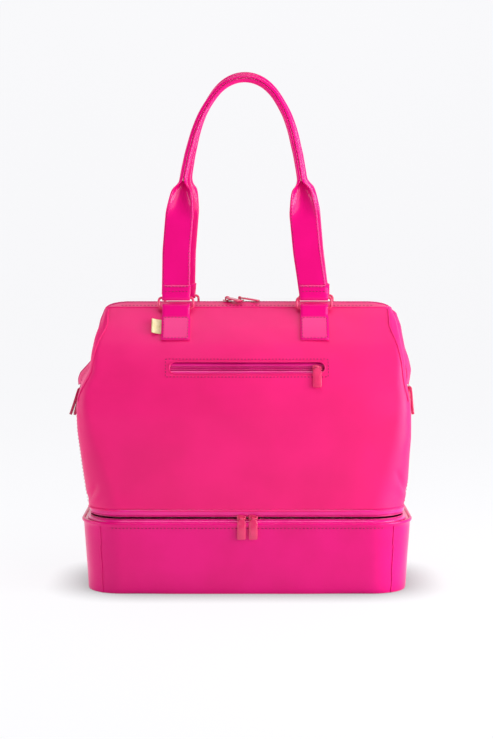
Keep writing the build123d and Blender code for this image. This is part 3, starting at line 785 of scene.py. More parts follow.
for side in (-1, 1):
    sill, coil_line = zip_edges(side)
    rows = []
    for a, b in zip(sill, coil_line):
        out = (
            Vector((a.x * 0.2, 0, 1)).normalized() if abs(a.x) < 178
            else Vector((math.copysign(1, a.x), 0, 0.25)).normalized()
        )
        row = []
        for k in range(9):
            t = k / 8
            bulge = 2.4 * math.sin(math.pi * t) ** 0.7 if abs(a.x) < 178 else 0.6 * math.sin(math.pi * t)
            brow = Vector((0, side * 1.1 * (1 - t) ** 4, 0)) if abs(a.x) < 178 else Vector()
            row.append((a.lerp(b, t) + out * bulge + brow) * MM)
        rows.append(row if side > 0 else list(reversed(row)))
    strip = loft(f"top_zip_{SIDE_NAME[side]}_strip", rows, satin_polyester)
    thicken(strip, 1.0)
    place_on(strip, f"{SIDE_NAME[side]}_mouth", "body_fabric", f"top_zip_{SIDE_NAME[side]}_tape")
    centre = [Vector((p.x, math.copysign(2.1, p.y), p.z)) for p in coil_line]
    teeth = tooth_tube(f"top_zip_{SIDE_NAME[side]}_teeth", centre, 1.15, nylon_coil)
    place_on(teeth, f"{SIDE_NAME[side]}_mouth", "zip_coil", f"top_zip_{SIDE_NAME[side]}_coil")
    hem = bar(
        f"top_zip_{SIDE_NAME[side]}_hem", [p * MM for p in sill[::2]], 0.9, satin_polyester, sides=8
    )
    place_on(hem, f"{SIDE_NAME[side]}_mouth", "body_fabric")
    track = [
        (a.lerp(b, 0.16) + Vector((0, 0, 1.2))) * MM for a, b in zip(sill, coil_line) if abs(a.x) < 172
    ]
    place_on(
        stitches(
            f"top_zip_{SIDE_NAME[side]}_stitches", track,
            [Vector((0, 0.2 * side, 1)).normalized()] * len(track)
        ),
        f"{SIDE_NAME[side]}_mouth",
        "body_fabric",
    )
print("top zip made")

# %% [markdown]
# ## The base compartment
# The base is a stiff coated tub: its walls lean out to a rolled rim, and its lower edge is rounded. It
# is lofted from a profile carried round a rounded rectangle, outside and inside in one closed skin.
# Moulded board under a coat isn't dead flat, so the wall wanders by a fraction of a millimetre, and
# the front edge of the floor lifts slightly in two places.

# %% Base shell
RIM_HALF_X, RIM_HALF_Y, RIM_RADIUS, RIM_Z = 214.0, 100.0, 55.0, 102.0
FLARE = math.tan(math.radians(3.6))
WALL = 2.5
FLOOR_LIFTS = [(-142, 40, 4.4), (140, 52, 4.2)]


def plan(inset, z, count, grow=0.0):
    """A rounded rectangle at a height, counted from the middle of the back."""
    corner = RIM_RADIUS - inset
    a, b = RIM_HALF_X - inset - corner + grow, RIM_HALF_Y - inset - corner + grow
    points = [Vector((0, b + corner))]
    for cx, cy, turn in ((a, b, 90), (a, -b, 0), (-a, -b, -90), (-a, b, -180)):
        for step in range(25):
            angle = math.radians(turn - 90 * step / 24)
            points.append(Vector((cx + corner * math.cos(angle), cy + corner * math.sin(angle))))
    points.append(points[0].copy())
    ring = resample(points, count + 1)[:-1]
    return [Vector((p.x, p.y, z)) * MM for p in ring]


def wall_inset(z):
    """How far the outer wall stands in from the rim at a height, with the rounded lower edge."""
    lean = (RIM_Z - z) * FLARE
    return lean + (12 - math.sqrt(max(144 - (12 - z) ** 2, 0)) if z < 12 else 0)


base_profile = [(34.0, 0.0), (24.0, 0.0)]
base_profile += [(wall_inset(z), z) for z in (0.0, 0.4, 1.4, 3.0, 5.2, 8.0, 12.0)]
base_profile += [(wall_inset(z), z) for z in spaced(16, 97, 4.5)]
base_profile += [
    (-1.0, 98.6), (-1.9, 100.0), (-2.0, 101.6), (-1.2, 102.7), (0.4, 103.0), (2.0, 102.4), (2.9, 101.2)
]
base_profile += [(WALL + wall_inset(z), z) for z in (97.0, 70.0, 40.0, 18.0)]
base_profile += [(WALL + 7.5, 8.0), (WALL + 12.0, 3.4), (30.0, 2.2)]
base_ring = 420
base_shell = loft(
    "base_shell", [plan(i, z, base_ring) for i, z in base_profile], gloss_polyurethane, closed_row=True
)


def settle_base(thing):
    """Lets the wall wander and lifts the front edge of the floor a little."""
    for v in thing.data.vertices:
        p = v.co / MM
        low = max(0.0, 1 - p.z / 34) ** 1.5
        front = min(max((-p.y - 40) / 40, 0), 1)
        lift = sum(high * math.exp(-(((p.x - at) / wide) ** 2)) for at, wide, high in FLOOR_LIFTS)
        drift = 0.5 * noise.noise(Vector((p.x, p.y, p.z)) / 70) + 0.25 * noise.noise(
            Vector((p.x, p.y, p.z)) / 28
        )
        out = Vector((p.x / RIM_HALF_X, p.y / RIM_HALF_Y * 1.4, 0))
        fade = min(max((98 - p.z) / 20, 0), 1)
        v.co += (out.normalized() * drift * fade + Vector((0, 0, (lift + 1.3) * low * front))) * MM
    thing.data.update()
    return thing


settle_base(base_shell)
place_on(base_shell, "base", "gloss_coated", "base_wall")


def wall_track(x_from, x_to, z, out_mm=0.05, step=4.0):
    """Points and outward directions along the front wall at a height."""
    front = [p for p in plan(wall_inset(z) - out_mm, z, 900) if p.y < 0 and x_from * MM < p.x < x_to * MM]
    front.sort(key=lambda p: p.x)
    return front[:: max(1, int(step / 1.2))]


rim_track = wall_track(-176, 178, 95.8)
rim_row = stitches("base_front_stitches", rim_track, [Vector((0, -1, 0))] * len(rim_track))
rear_track = [Vector((p.x, -p.y, p.z)) for p in rim_track]
rear_row = stitches("base_rear_stitches", rear_track, [Vector((0, 1, 0))] * len(rear_track))
for row in (rim_row, rear_row):
    place_on(row, "base", "gloss_coated")

# %% [markdown]
# ## Seams of the base
# Four upright seams join the front and back walls to the ends. Each is a narrow raised lap, a strip
# that follows the wall from under the rim to the floor's edge.

# %% Base seams
SEAM_X = 189.0
for sx in (-1, 1):
    for sy in (-1, 1):
        track = []
        for z in spaced(4, 98, 4):
            ring = plan(wall_inset(z) - 0.25, z, 900)
            side_points = [p for p in ring if p.y * sy > 0]
            track.append(min(side_points, key=lambda p: abs(p.x - sx * (SEAM_X - (98 - z) * 0.03) * MM)))
        lap = bar(f"base_seam_{END_NAME[sx]}_{SIDE_NAME[sy]}", track, 0.75, gloss_polyurethane, sides=8)
        settle_base(lap)
        place_on(lap, "base", "gloss_coated")

# %% [markdown]
# ## The base zip
# The lower tape turns in from the rim and stands up to the lower coil; the upper tape hangs from the
# body to the upper coil. The mechanical model's bands already have those shapes and sizes, so they
# stay and get a coated tape finish further down; a coated band is laid along each. The coils are replaced
# by toothed ones, and a piping bead hides the seam at the body's lower edge.

# %% Base zip coils, piping and tapes
ZIP_PLAN_INSET = 11.0 - 0.6


def zip_ring(z, inset):
    """The base zip's line at a height."""
    corner = 46.0 - 0.6 - (inset - ZIP_PLAN_INSET)
    a, b = 203.0 - 0.6 - 46.0 + 0.6, 94.5 - 46.0
    points = [Vector((0, b + corner, z))]
    for cx, cy, turn in ((a, b, 90), (a, -b, 0), (-a, -b, -90), (-a, b, -180)):
        for step in range(25):
            angle = math.radians(turn - 90 * step / 24)
            points.append(Vector((cx + corner * math.cos(angle), cy + corner * math.sin(angle), z)))
    points.append(points[0].copy())
    return points


for level, body, node in (
    (106.5, "base", "base_zip_lower_coil"), (110.7, "upper_body", "base_zip_upper_coil")
):
    teeth = tooth_tube(
        node.replace("coil", "teeth"), zip_ring(level, ZIP_PLAN_INSET - 1.0), 1.2, nylon_coil, 1.0,
        Vector((0, 0, 1))
    )
    place_on(teeth, body, "zip_coil", node)
BAND_ROWS = {
    "base_zip_upper_band": ("upper_body", [(119.4, 7.6), (116.5, 7.5), (113.0, 8.1), (111.7, 9.2)]),
    "base_zip_lower_band": ("base", [(105.7, 9.2), (104.9, 7.9), (103.8, 6.6), (102.4, 5.4)]),
}
for name, (body, levels) in BAND_ROWS.items():
    rows = [[p * MM for p in resample(zip_ring(z, inset), 401)[:-1]] for z, inset in reversed(levels)]
    band = loft(name, rows, gloss_tape, closed_row=True)
    place_on(thicken(band, 0.6), body, "zip_tape")
piping_high = []
for end in (-1, 1):
    for side in (-1, 1):
        part = [
            Vector((p.x, -side * p.y, BODY_BOTTOM - 0.6)) * MM
            for p in resample(half_section(BODY_BOTTOM, end), 100)
        ]
        piping_high.append(part if end * side > 0 else list(reversed(part)))
order = [piping_high[0], piping_high[2], piping_high[3], piping_high[1]]
bead = [p for part in order for p in part[:-1]]
place_on(
    bar("body_bottom_piping", bead, 1.1, satin_polyester, closed=True, sides=8), "upper_body",
    "body_fabric"
)
print("base and base zip made")

# %% [markdown]
# ## Finding the cloth
# Chapes, stitches and the pocket lie on cloth that has been crumpled, so their places can't come from
# the tables alone. A ray shot at the finished panel gives the point and the way out of the cloth.

# %% A ray onto the panels
panel_tree = {
    side: BVHTree.FromPolygons(
        [v.co for v in panel.data.vertices], [p.vertices for p in panel.data.polygons]
    )
    for side, panel in ((-1, front_panel), (1, rear_panel))
}


def on_cloth(x, z, side=-1, lift=0.0):
    """The point on a panel at x and z in millimetres, lifted off it, and the outward direction."""
    start = Vector((x, side * 300, z)) * MM
    hit, normal, _, _ = panel_tree[side].ray_cast(start, Vector((0, -side, 0)))
    if hit is None:
        flat = Vector((x, side * (read_table(DEPTH, z) - 1), z)) * MM
        return flat, Vector((0, side, 0.3)).normalized()
    normal = normal if normal.y * side > 0 else -normal
    return hit + normal * lift * MM, normal


# %% [markdown]
# ## The pocket zip
# A welt pocket is a slot whose turned edges frame a zip set just behind. The slot is already cut in
# the front panel. A bead follows its edge for the turned cloth, the zip's tape and coils run straight
# behind it at the height of the slider, and one row of stitches goes all round.

# %% Pocket zip and welt
POCKET_AT = Vector((0, -76.31, 298.92))
POCKET_OUT = Vector((0, -0.9162, 0.4007))
POCKET_UP = Vector((0, 0.4007, 0.9162))
BEAD_RADIUS = 0.85


def slot_outline(half_length, half_height, count=180):
    """A stadium round the slot, as x and height above its middle."""
    corner = [Vector((half_length - half_height, half_height))]
    for cx, turn in ((half_length - half_height, 90), (-(half_length - half_height), -90)):
        for step in range(13):
            angle = math.radians(turn - 180 * step / 12)
            corner.append(Vector((cx + half_height * math.cos(angle), half_height * math.sin(angle))))
    return resample(corner + [corner[0]], count + 1)[:-1]


bead_path = [on_cloth(p.x, 300.6 + p.y, -1, 0.1)[0] for p in slot_outline(100.6, 7.6, 260)]
smooth_bead = [
    sum((bead_path[(i + k) % len(bead_path)] for k in (-2, -1, 0, 1, 2)), Vector()) / 5
    for i in range(len(bead_path))
]
place_on(
    bar("pocket_welt", smooth_bead, BEAD_RADIUS, satin_polyester, closed=True, sides=8), "front_mouth",
    "body_fabric"
)
box_corners = [
    Vector((x, z)) for x,
    z in ((-104.5, 289.4), (104.5, 289.4), (104.5, 311.6), (-104.5, 311.6), (-104.5, 289.4))
]
box_track = [on_cloth(p.x, p.y, -1, 0.15) for p in resample(box_corners, 150)]
box_row = stitches(
    "pocket_stitches", [t[0] for t in box_track], [t[1] for t in box_track], None, 2.6, 4.4, 1.1, 0.4
)
place_on(box_row, "front_mouth", "body_fabric")


def pocket_place(x, up, out):
    """A point of the pocket zip: along, above and in front of its middle line, in millimetres."""
    return (POCKET_AT + Vector((x, 0, 0)) + POCKET_UP * up + POCKET_OUT * out) * MM


tape_rows = []
for x in spaced(-106, 106, 4):
    sink = 0.25 * math.sin(x / 23) + 0.15 * math.sin(x / 9)
    profile = [
        (-10.5, -0.4), (-7.0, 1.3), (-3.4, 2.1), (-3.0, 0.3), (3.0, 0.3), (3.4, 2.1), (7.0, 1.3),
        (10.5, -0.4)
    ]
    tape_rows.append([pocket_place(x, up, out + sink) for up, out in profile])
pocket_tape = loft("pocket_tape", list(reversed(tape_rows)), gloss_tape)
thicken(pocket_tape, 0.6)
place_on(pocket_tape, "front_mouth", "zip_tape", "pocket_zip_tape")
pocket_teeth = []
for edge in (-1, 1):
    line = [pocket_place(x, edge * 1.75, 1.4 + 0.2 * math.sin(x / 23)) / MM for x in spaced(-105, 105, 5)]
    pocket_teeth.append(tooth_tube(f"pocket_teeth_{edge}", line, 1.05, nylon_coil, 1.1, POCKET_OUT))
place_on(join("pocket_teeth", pocket_teeth), "front_mouth", "zip_coil", "pocket_zip_coil")

bag_rows = []
for z in [300, 296, 290, 284, 270, 250, 232, 222, 216, 213, 212.2]:
    y = -71.0 if z > 284 else -68.5
    half_x = 101 - 10 * max(0, (224 - z) / 12) ** 2
    thick = 1.0 + 2.4 * math.sin(math.pi * (300 - z) / 88)
    ring = [
        Vector(
            (
                half_x * math.cos(a),
                y + 0.3 * noise.noise(Vector((math.cos(a), z / 30, 0))) + thick * math.sin(a), z
            )
        ) * MM
        for a in [math.tau * k / 40 for k in range(40)]
    ]
    bag_rows.append(ring)
pocket_pouch = loft("pocket_pouch", list(reversed(bag_rows)), lining_cloth, closed_row=True, caps=True)
place_on(pocket_pouch, "front_mouth", "lining", "pocket_bag")
print("pocket made")

# %% [markdown]
# ## Ribbons
# Chapes, handle straps, tabs and the label are all ribbons: a width and a thickness carried along a
# path. The same sweep also makes the rolled grips, because a grip is only a strap whose edges curl
# until they meet. The section is a circular arc, and the curl is half the angle it spans: 0 is flat,
# and just under half a turn closes the tube and leaves a fine seam.

# %% The ribbon sweep


def ribbon_section(width, curl, share, lift):
    """A point of a curled section: share runs from -1 to 1 across it, lift is off its mid-line."""
    curl = max(curl, 1e-3)
    radius = width / 2 / curl
    mean = radius * (1 - math.sin(curl) / curl)
    x = radius * math.sin(curl * share) - lift * math.sin(curl * share)
    return x, radius * (1 - math.cos(curl * share)) - mean + lift * math.cos(curl * share)


def frames_along(path, out=None, across=None):
    """The running, sideways and outward directions at each point of a path."""
    made = []
    for i in range(len(path)):
        run = (path[min(i + 1, len(path) - 1)] - path[max(i - 1, 0)]).normalized()
        side = run.cross(out).normalized() if out else across
        made.append((run, side, side.cross(run).normalized()))
    return made


def ribbon(name, path, width, thickness, material, out=None, across=None, curl=None, steps=14):
    """Sweeps a ribbon; width, thickness and curl are given for each point of the path."""
    shares = [-1.0, -0.975] + [-0.95 + 1.9 * k / steps for k in range(1, steps)] + [0.975, 1.0]
    rings = []
    for i, (p, frame_i) in enumerate(zip(path, frames_along(path, out, across))):
        _, side, away = frame_i
        ring = []
        for face, order in ((1, shares), (-1, list(reversed(shares)))):
            for s in order:
                thin = 0.55 if abs(s) == 1.0 else 1.0
                x, n = ribbon_section(
                    width[i], curl[i] if curl else 0.0, s, face * thickness[i] / 2 * thin
                )
                ring.append(p + (side * x + away * n) * MM)
        rings.append(ring)
    return loft(name, rings, material, closed_row=True, caps=True)


def ribbon_track(path, width, thickness, margin, edge, out=None, across=None, curl=None, face=1):
    """Points and outward directions of a stitch row near one edge of a ribbon."""
    points, aways = [], []
    for i, (p, frame_i) in enumerate(zip(path, frames_along(path, out, across))):
        _, side, away = frame_i
        share = edge * (1 - 2 * margin / width[i])
        x, n = ribbon_section(width[i], curl[i] if curl else 0.0, share, face * (thickness[i] / 2 + 0.05))
        points.append(p + (side * x + away * n) * MM)
        aways.append(away * face)
    return points, aways


# %% [markdown]
# ## Chapes and rings
# A chape is a coated strap folded over the ring's lower bar and box-stitched to the panel. It leaves
# the cloth at its upper stitch row, so its loop stands proud there and catches the light.

# %% Chapes and rings
CHAPE_WIDTH, CHAPE_THICK = 36.0, 2.2
CHAPE_LOW, CHAPE_ROW = 334.5, 364.5
RING_Y, RING_Z, RING_TOP = 35.583, 375.172, 388.672
LOOP_OUT = Vector((0.7557, 0.6549))  # forward and up
WIRE = 1.6
STATION_SHIFT = {-1: -2.5, 1: 2.5}


def chape_path(x, side):
    """The middle of the chape's strap: up the cloth, out, over the ring bar and back down behind."""
    path = []
    for z in spaced(CHAPE_LOW, 370, 2.0):
        p, _ = on_cloth(x, z, side, 0.0)
        rise = min(max((z - CHAPE_ROW + 2) / 10, 0), 1)
        lift = 1.5 + 5.0 * rise * rise * (3 - 2 * rise)
        path.append(p + Vector((0, side * 0.78, 0.62)) * lift * MM)
    for step in range(15):
        angle = math.radians(-4 + 210 * step / 14)
        c, s = math.cos(angle), math.sin(angle)
        forward = LOOP_OUT.x * c - LOOP_OUT.y * s
        up = LOOP_OUT.y * c + LOOP_OUT.x * s
        rise = 1.6 if up > 0 else 1.0
        path.append(Vector((x, side * (RING_Y + 3.0 * forward), RING_Z + 3.0 * rise * up)) * MM)
    return path


for side in (-1, 1):
    for end in (-1, 1):
        x = STATION_SHIFT[side] + end * 90.0
        tag = f"{SIDE_NAME[side]}_{END_NAME[end]}"
        path = chape_path(x, side)
        count = len(path)
        width = [CHAPE_WIDTH + (0.9 if p.z / MM < CHAPE_ROW else -0.3) for p in path]
        across = Vector((-side, 0, 0))
        straps = [
            ribbon(
                f"{tag}_strap", path, width, [CHAPE_THICK] * count, gloss_polyurethane, across=across,
                steps=10
            )
        ]
        flat = [p for p in path if p.z / MM < CHAPE_ROW]
        flat = flat[1:]
        for edge in (-1, 1):
            track = ribbon_track(
                flat, [CHAPE_WIDTH] * len(flat), [CHAPE_THICK] * len(flat), 2.0, edge, across=across,
                face=1
            )
            straps.append(stitches(f"{tag}_edge_{edge}", *track, None, 2.6, 4.3, 1.1, 0.4))
        for z in (337.5, CHAPE_ROW - 0.5):
            near = min(flat, key=lambda p: abs(p.z / MM - z))
            lift = Vector((0, side * 0.85, 0.5)) * (CHAPE_THICK / 2 + 0.15) * MM
            row = [near + Vector((dx * MM, 0, 0)) + lift for dx in spaced(-15.6, 15.6, 3)]
            straps.append(
                stitches(
                    f"{tag}_row_{z}", row, [Vector((0, side * 0.85, 0.5))] * len(row), None, 2.6, 4.3,
                    1.1, 0.4
                )
            )
        place_on(
            join(f"{tag}_chape_strap", straps), f"{SIDE_NAME[side]}_mouth", "gloss_coated", f"{tag}_chape"
        )
        outline = rounded_rectangle(45.0, RING_TOP - RING_Z, 4.0, 7)
        loop = [Vector((x + px, side * RING_Y, (RING_Z + RING_TOP) / 2 + pz)) * MM for px, pz in outline]
        ring = bar(f"{tag}_wire_ring", loop, WIRE, enamelled_zinc, closed=True, sides=14)
        place_on(ring, f"{tag}_ring", "painted_hardware", f"{tag}_ring")
print("chapes and rings made")

# %% [markdown]
# ## Handles
# Each handle is one coated strap. It folds round the ring and is stitched back on itself, runs up
# flat, then its edges curl forward at the neck and the rest is rolled round a cotton cord. The whole
# arch is one ribbon from ring to ring, so strap, neck and grip share one skin.

# %% Handles
NECK_HALF_X, APEX_RADIUS, SHOULDER_RADIUS, SHOULDER_TURN = 77.9, 53.3, 206.0, 33.0
NECK_HEIGHT = {-1: 149.5, 1: 154.5}
# how far each arch leans sideways, and how much wider it spreads, against height above the rings
SWAY = {
    -1: [
        (0, -0.5), (25, -2.0), (60, -4.4), (110, -4.8), (149, -4.0), (200, -3.0), (262, -0.8), (300, -0.8)
    ],
    1: [(0, -0.5), (60, -3.6), (149, -4.0), (290, -5.0)],
}
SPREAD = [(0, 0), (60, 0), (149, -0.8), (175, -3.4), (200, -4.4), (240, -2.8), (290, -4.2)]
LEAN = math.radians(5.0)
CURL = [
    (-60, 0.0), (-47, 0.02), (-33, 0.55), (-18, 1.0), (-9, 1.3), (-4, 2.0), (1, 2.85), (6, 3.06),
    (400, 3.06)
]
WIDTHS = [(-60, 36.4), (-40, 36.4), (-14, 33.5), (-4, 29), (4, 26.4), (400, 26.4)]
THICKS = [(-60, 3.4), (-45, 3.2), (-10, 2.2), (4, 1.7), (400, 1.7)]


def arch_line(neck_height):
    """The handle's line in its own plane, as x, height, and distance past the left neck."""
    low = 4.0
    left = [
        Vector((-90 + (90 - NECK_HALF_X) * h / neck_height, h)) for h in spaced(low, neck_height, 2.5)
    ]
    heading, p, arch = 90.0, left[-1].copy(), []
    for radius, turn in (
        (SHOULDER_RADIUS, SHOULDER_TURN), (APEX_RADIUS, 2 * (90 - SHOULDER_TURN)),
        (SHOULDER_RADIUS, SHOULDER_TURN)
    ):
        pieces = round(radius * math.radians(turn) / 3)
        step = radius * math.radians(turn) / pieces
        for _ in range(pieces):
            heading -= turn / pieces / 2
            p = p + Vector((math.cos(math.radians(heading)), math.sin(math.radians(heading)))) * step
            heading -= turn / pieces / 2
            arch.append(p.copy())
    right = [Vector((-q.x, q.y)) for q in reversed(left)]
    line = left + arch[:-1] + right
    half = [0.0]
    for a, b in zip(line, line[1:]):
        half.append(half[-1] + (b - a).length)
    neck = half[len(left) - 1]
    past = [min(d, half[-1] - d) - neck for d in half]
    return line, past


def lean_over(p, side):
    """Where a point of the arch ends up sideways."""
    spread = min(max(p.x / 40, -1), 1) * read_table(SPREAD, p.y)
    return p.x + read_table(SWAY[side], p.y) + spread


def handle(side):
    """One handle with its ring loops and stitching."""
    out = Vector((0, side * math.cos(LEAN), math.sin(LEAN)))
    up = Vector((0, -side * math.sin(LEAN), math.cos(LEAN)))
    origin = Vector((STATION_SHIFT[side], side * RING_Y, RING_TOP)) * MM
    line, past = arch_line(NECK_HEIGHT[side])
    if side > 0:
        line = [Vector((-p.x, p.y)) for p in line]
    line = [Vector((lean_over(p, side), p.y)) for p in line]
    place = lambda x, h, n=0.0: origin + (Vector((x, 0, 0)) + up * h + out * n) * MM
    path = [place(p.x, p.y, 0.35 * math.sin(p.x / 17)) for p in line]
    width = [read_table(WIDTHS, d, 2) for d in past]
    thick = [read_table(THICKS, d, 2) for d in past]
    curl = [read_table(CURL, d, 2) for d in past]
    pieces = [
        ribbon(f"handle_{side}", path, width, thick, gloss_polyurethane, out=out, curl=curl, steps=18)
    ]
    low = [i for i, d in enumerate(past) if d < -2]
    for part in ([i for i in low if i < len(path) / 2], [i for i in low if i > len(path) / 2]):
        for edge in (-1, 1):
            pick = lambda values: [values[i] for i in part]
            points, aways = ribbon_track(
                pick(path), pick(width), pick(thick), 2.0, edge, out=out, curl=pick(curl), face=1
            )
            pieces.append(stitches(f"edge_{side}_{edge}", points, aways, None, 2.6, 4.3, 1.0, 0.35))
    for end in (-1, 1):
        loop = [place(end * 90, h, -2.2) for h in (16, 12, 8, 4)]
        loop += [
            place(end * 90, 3.1 * math.sin(math.radians(180 + t)), 4.0 * math.cos(math.radians(180 + t)))
            for t in range(0, 181, 15)
        ]
        loop += [
            place(end * (90 - 0.083 * h), h, n) for h,
            n in ((3, 2.9), (6, 2.5), (9, 2.3), (12, 2.2), (16.5, 2.1))
        ]
        count = len(loop)
        pieces.append(
            ribbon(
                f"loop_{side}_{end}", loop, [36.4] * count, [1.5] * count, gloss_polyurethane,
                across=Vector((-side, 0, 0)), steps=8
            )
        )
        for h in (8.2, 14.2):
            row = [place(end * (90 - 0.083 * h) + dx, h, 3.2) for dx in spaced(-15.8, 15.8, 3)]
            pieces.append(
                stitches(f"row_{side}_{end}_{h}", row, [out] * len(row), None, 2.6, 4.3, 1.1, 0.4)
            )
    core = bar(
        f"{SIDE_NAME[side]}_grip_cord", [p for p, d in zip(path, past) if d > 1], 2.9, core_cord, sides=12
    )
    place_on(core, f"{SIDE_NAME[side]}_handle", "cord_core", f"{SIDE_NAME[side]}_handle_core")
    made = join(f"{SIDE_NAME[side]}_handle_strap", pieces)
    return place_on(
        made, f"{SIDE_NAME[side]}_handle", "gloss_coated", f"{SIDE_NAME[side]}_handle_straps",
        f"{SIDE_NAME[side]}_handle_grip"
    )


handles = [handle(side) for side in (-1, 1)]
print("handles made:", [len(h.data.vertices) for h in handles], "points")

# %% [markdown]
# ## Sliders and pulls
# A slider is two plates joined by a bridge, with two cheeks and a pin that hold the pull. The plates
# are cut-out prisms with rounded edges, shield-shaped as a cast slider is. The pull is a flat plate
# with a raised field, hung from an eye on the bail's pin. The plain face takes the place of lettering.

# %% Sliders and pulls
PLATE_OUTLINE = [(-6, -2.6), (-4.6, -4.6), (-1.5, -4.8), (1.5, -4.2), (4.2, -2.6), (6, -2.1)]
PLATE_OUTLINE += [(6, 2.1), (4.2, 2.6), (1.5, 4.2), (-1.5, 4.8), (-4.6, 4.6), (-6, 2.6)]
PULL_PLATE = [(-2.3, -1.0), (-4.1, -2.6), (-5.2, -4.6), (-5.5, -7.0), (-5.5, -25.6), (-4.6, -27.0)]
PULL_OUTLINE = PULL_PLATE + [(-x, y) for x, y in reversed(PULL_PLATE)]
PLATE_Z = 2.4


def local_frame(origin, x_dir, z_dir):
    """A matrix from a slider's own directions, in millimetres, to the row frame."""
    x, z = Vector(x_dir).normalized(), Vector(z_dir).normalized()
    made = Matrix((x, z.cross(x), z)).transposed().to_4x4()
    made.translation = Vector(origin) * MM
    return made


def slider_piece(name, frame_at, pin_height, bail_turn):
    """A zip slider with its cheeks and pin."""
    turn = Matrix.Rotation(math.radians(bail_turn), 4, "Z")
    parts = []
    for z in (-PLATE_Z, PLATE_Z):
        place = frame_at @ Matrix.Translation((0, 0, z * MM))
        parts.append(prism(f"{name}_plate", PLATE_OUTLINE, 1.4, place, enamelled_zinc, 0.5))
    post = [(x * 1.4, y * 0.8) for x, y in ((-1, -1), (1, -1), (1, 1), (-1, 1))]
    parts.append(prism(f"{name}_post", post, 2 * PLATE_Z, frame_at, enamelled_zinc, 0.2))
    top = PLATE_Z + 0.6
    whole = frame_at @ turn
    for end in (-1, 1):
        cheek = [
            Vector((end * 3.1, 0, z))
            for z in (top - 0.4, (top + pin_height) / 2, pin_height, pin_height + 0.9)
        ]
        parts.append(
            bar(f"{name}_cheek", [whole @ (p * MM) for p in cheek], 0.85, enamelled_zinc, sides=10)
        )
    pin = [whole @ (Vector((x, 0, pin_height)) * MM) for x in (-3.0, 0.0, 3.0)]
    parts.append(bar(f"{name}_pin", pin, 0.75, enamelled_zinc, sides=10))
    return join(name, parts)


def pull_piece(name, frame_at):
    """A flat pull with a raised field and its eye round the pin."""
    eye = []
    for x, radius in ((-2.1, 0.95), (-2.1, 1.6), (-1.8, 1.8), (1.8, 1.8), (2.1, 1.6), (2.1, 0.95)):
        eye.append(
            [
                frame_at @ (Vector((x, radius * math.cos(a), radius * math.sin(a))) * MM)
                for a in [math.tau * k / 16 for k in range(16)]
            ]
        )
    field = rounded_rectangle(7.6, 15.5, 1.6, 4)
    parts = [
        loft(f"{name}_eye", eye, enamelled_zinc, closed_row=True, closed_rows=True),
        prism(f"{name}_plate", PULL_OUTLINE, 1.7, frame_at, enamelled_zinc, 0.55),
        prism(f"{name}_field", [(x, y - 15.6) for x, y in field], 2.2, frame_at, enamelled_zinc, 0.35),
    ]
    return join(name, parts)


zips = []
for end, x, turn in ((-1, -26.0, 40.0), (1, -9.5, 70.0)):
    tag, angle, drop = f"top_{END_NAME[end]}", math.radians(turn), math.radians(8.0)
    zips.append((tag, local_frame((x, 0, ZIP_TOP), (1, 0, 0), (0, 0, 1)), 5.9, turn))
    tilt = (math.sin(angle) * math.sin(drop), -math.cos(angle) * math.sin(drop), math.cos(drop))
    zips[-1] += (local_frame((x, 0, ZIP_TOP + 5.9), (math.cos(angle), math.sin(angle), 0), tilt),)
for end, x in ((-1, -7.0), (1, 8.0)):
    at = local_frame((x, -93.9, 108.6), (1, 0, 0), (0, -1, 0))
    zips.append((f"base_{END_NAME[end]}", at, 7.9, 0.0, at @ Matrix.Translation((0, 0, 7.9 * MM))))
at = local_frame(POCKET_AT + Vector((90, 0, 0)), (1, 0, 0), POCKET_OUT)
zips.append(("pocket", at, 6.4, 0.0, at @ Matrix.Translation((0, 0, 6.4 * MM))))
for tag, slider_at, pin, turn, pull_at in zips:
    place_on(
        slider_piece(f"{tag}_zip_slider", slider_at, pin, turn), f"{tag}_slider", "painted_hardware",
        f"{tag}_slider"
    )
    place_on(pull_piece(f"{tag}_zip_pull", pull_at), f"{tag}_pull", "painted_hardware", f"{tag}_pull")
print("sliders and pulls made:", len(zips))

# %% [markdown]
# ## Zip end tabs and the label
# Where the zip ends on each ear, a folded coated tab hangs over it. Its two leaves spring apart at
# the bottom. The woven label is a short curled ribbon that sticks out beside the left chape; it is
# left blank.

# %% Tabs and label
TAB_AT, TAB_WIDTH = Vector((218.7, 0, 267)), 25.0
for end, tilt, spread in ((-1, 16.0, 1.3), (1, 4.0, 0.6)):
    angle = math.radians(tilt)
    down = Vector((end * math.sin(angle), 0, -math.cos(angle)))
    away = Vector((end * math.cos(angle), 0, math.sin(angle)))
    base = Vector((end * (TAB_AT.x + (3.0 if end < 0 else -3.2)), 0, TAB_AT.z - (2.0 if end < 0 else 0)))
    leaf = lambda d, s: base + down * d + away * s * (1.5 + spread * (d / 34) ** 1.6)
    path = [leaf(d, 1) for d in spaced(0, 34, 3)][::-1]
    path += [
        base + away * 1.3 * math.cos(a) - down * 2.0 * math.sin(a)
        for a in (math.radians(t) for t in range(30, 151, 30))
    ]
    path += [leaf(d, -1) for d in spaced(0, 33, 3)]
    path = [p * MM for p in path]
    count = len(path)
    width = [TAB_WIDTH - 5.0 * max(0.0, 1 - abs((p.z / MM) - TAB_AT.z) / 8) for p in path]
    tab = ribbon(
        f"tab_{end}", path, width, [3.4] * count, tab_polyurethane, across=Vector((0, 1, 0)), steps=8
    )
    place_on(
        join(f"{END_NAME[end]}_folded_tab", [tab]), f"{END_NAME[end]}_zip_tab", "gloss_coated",
        f"{END_NAME[end]}_zip_tab"
    )

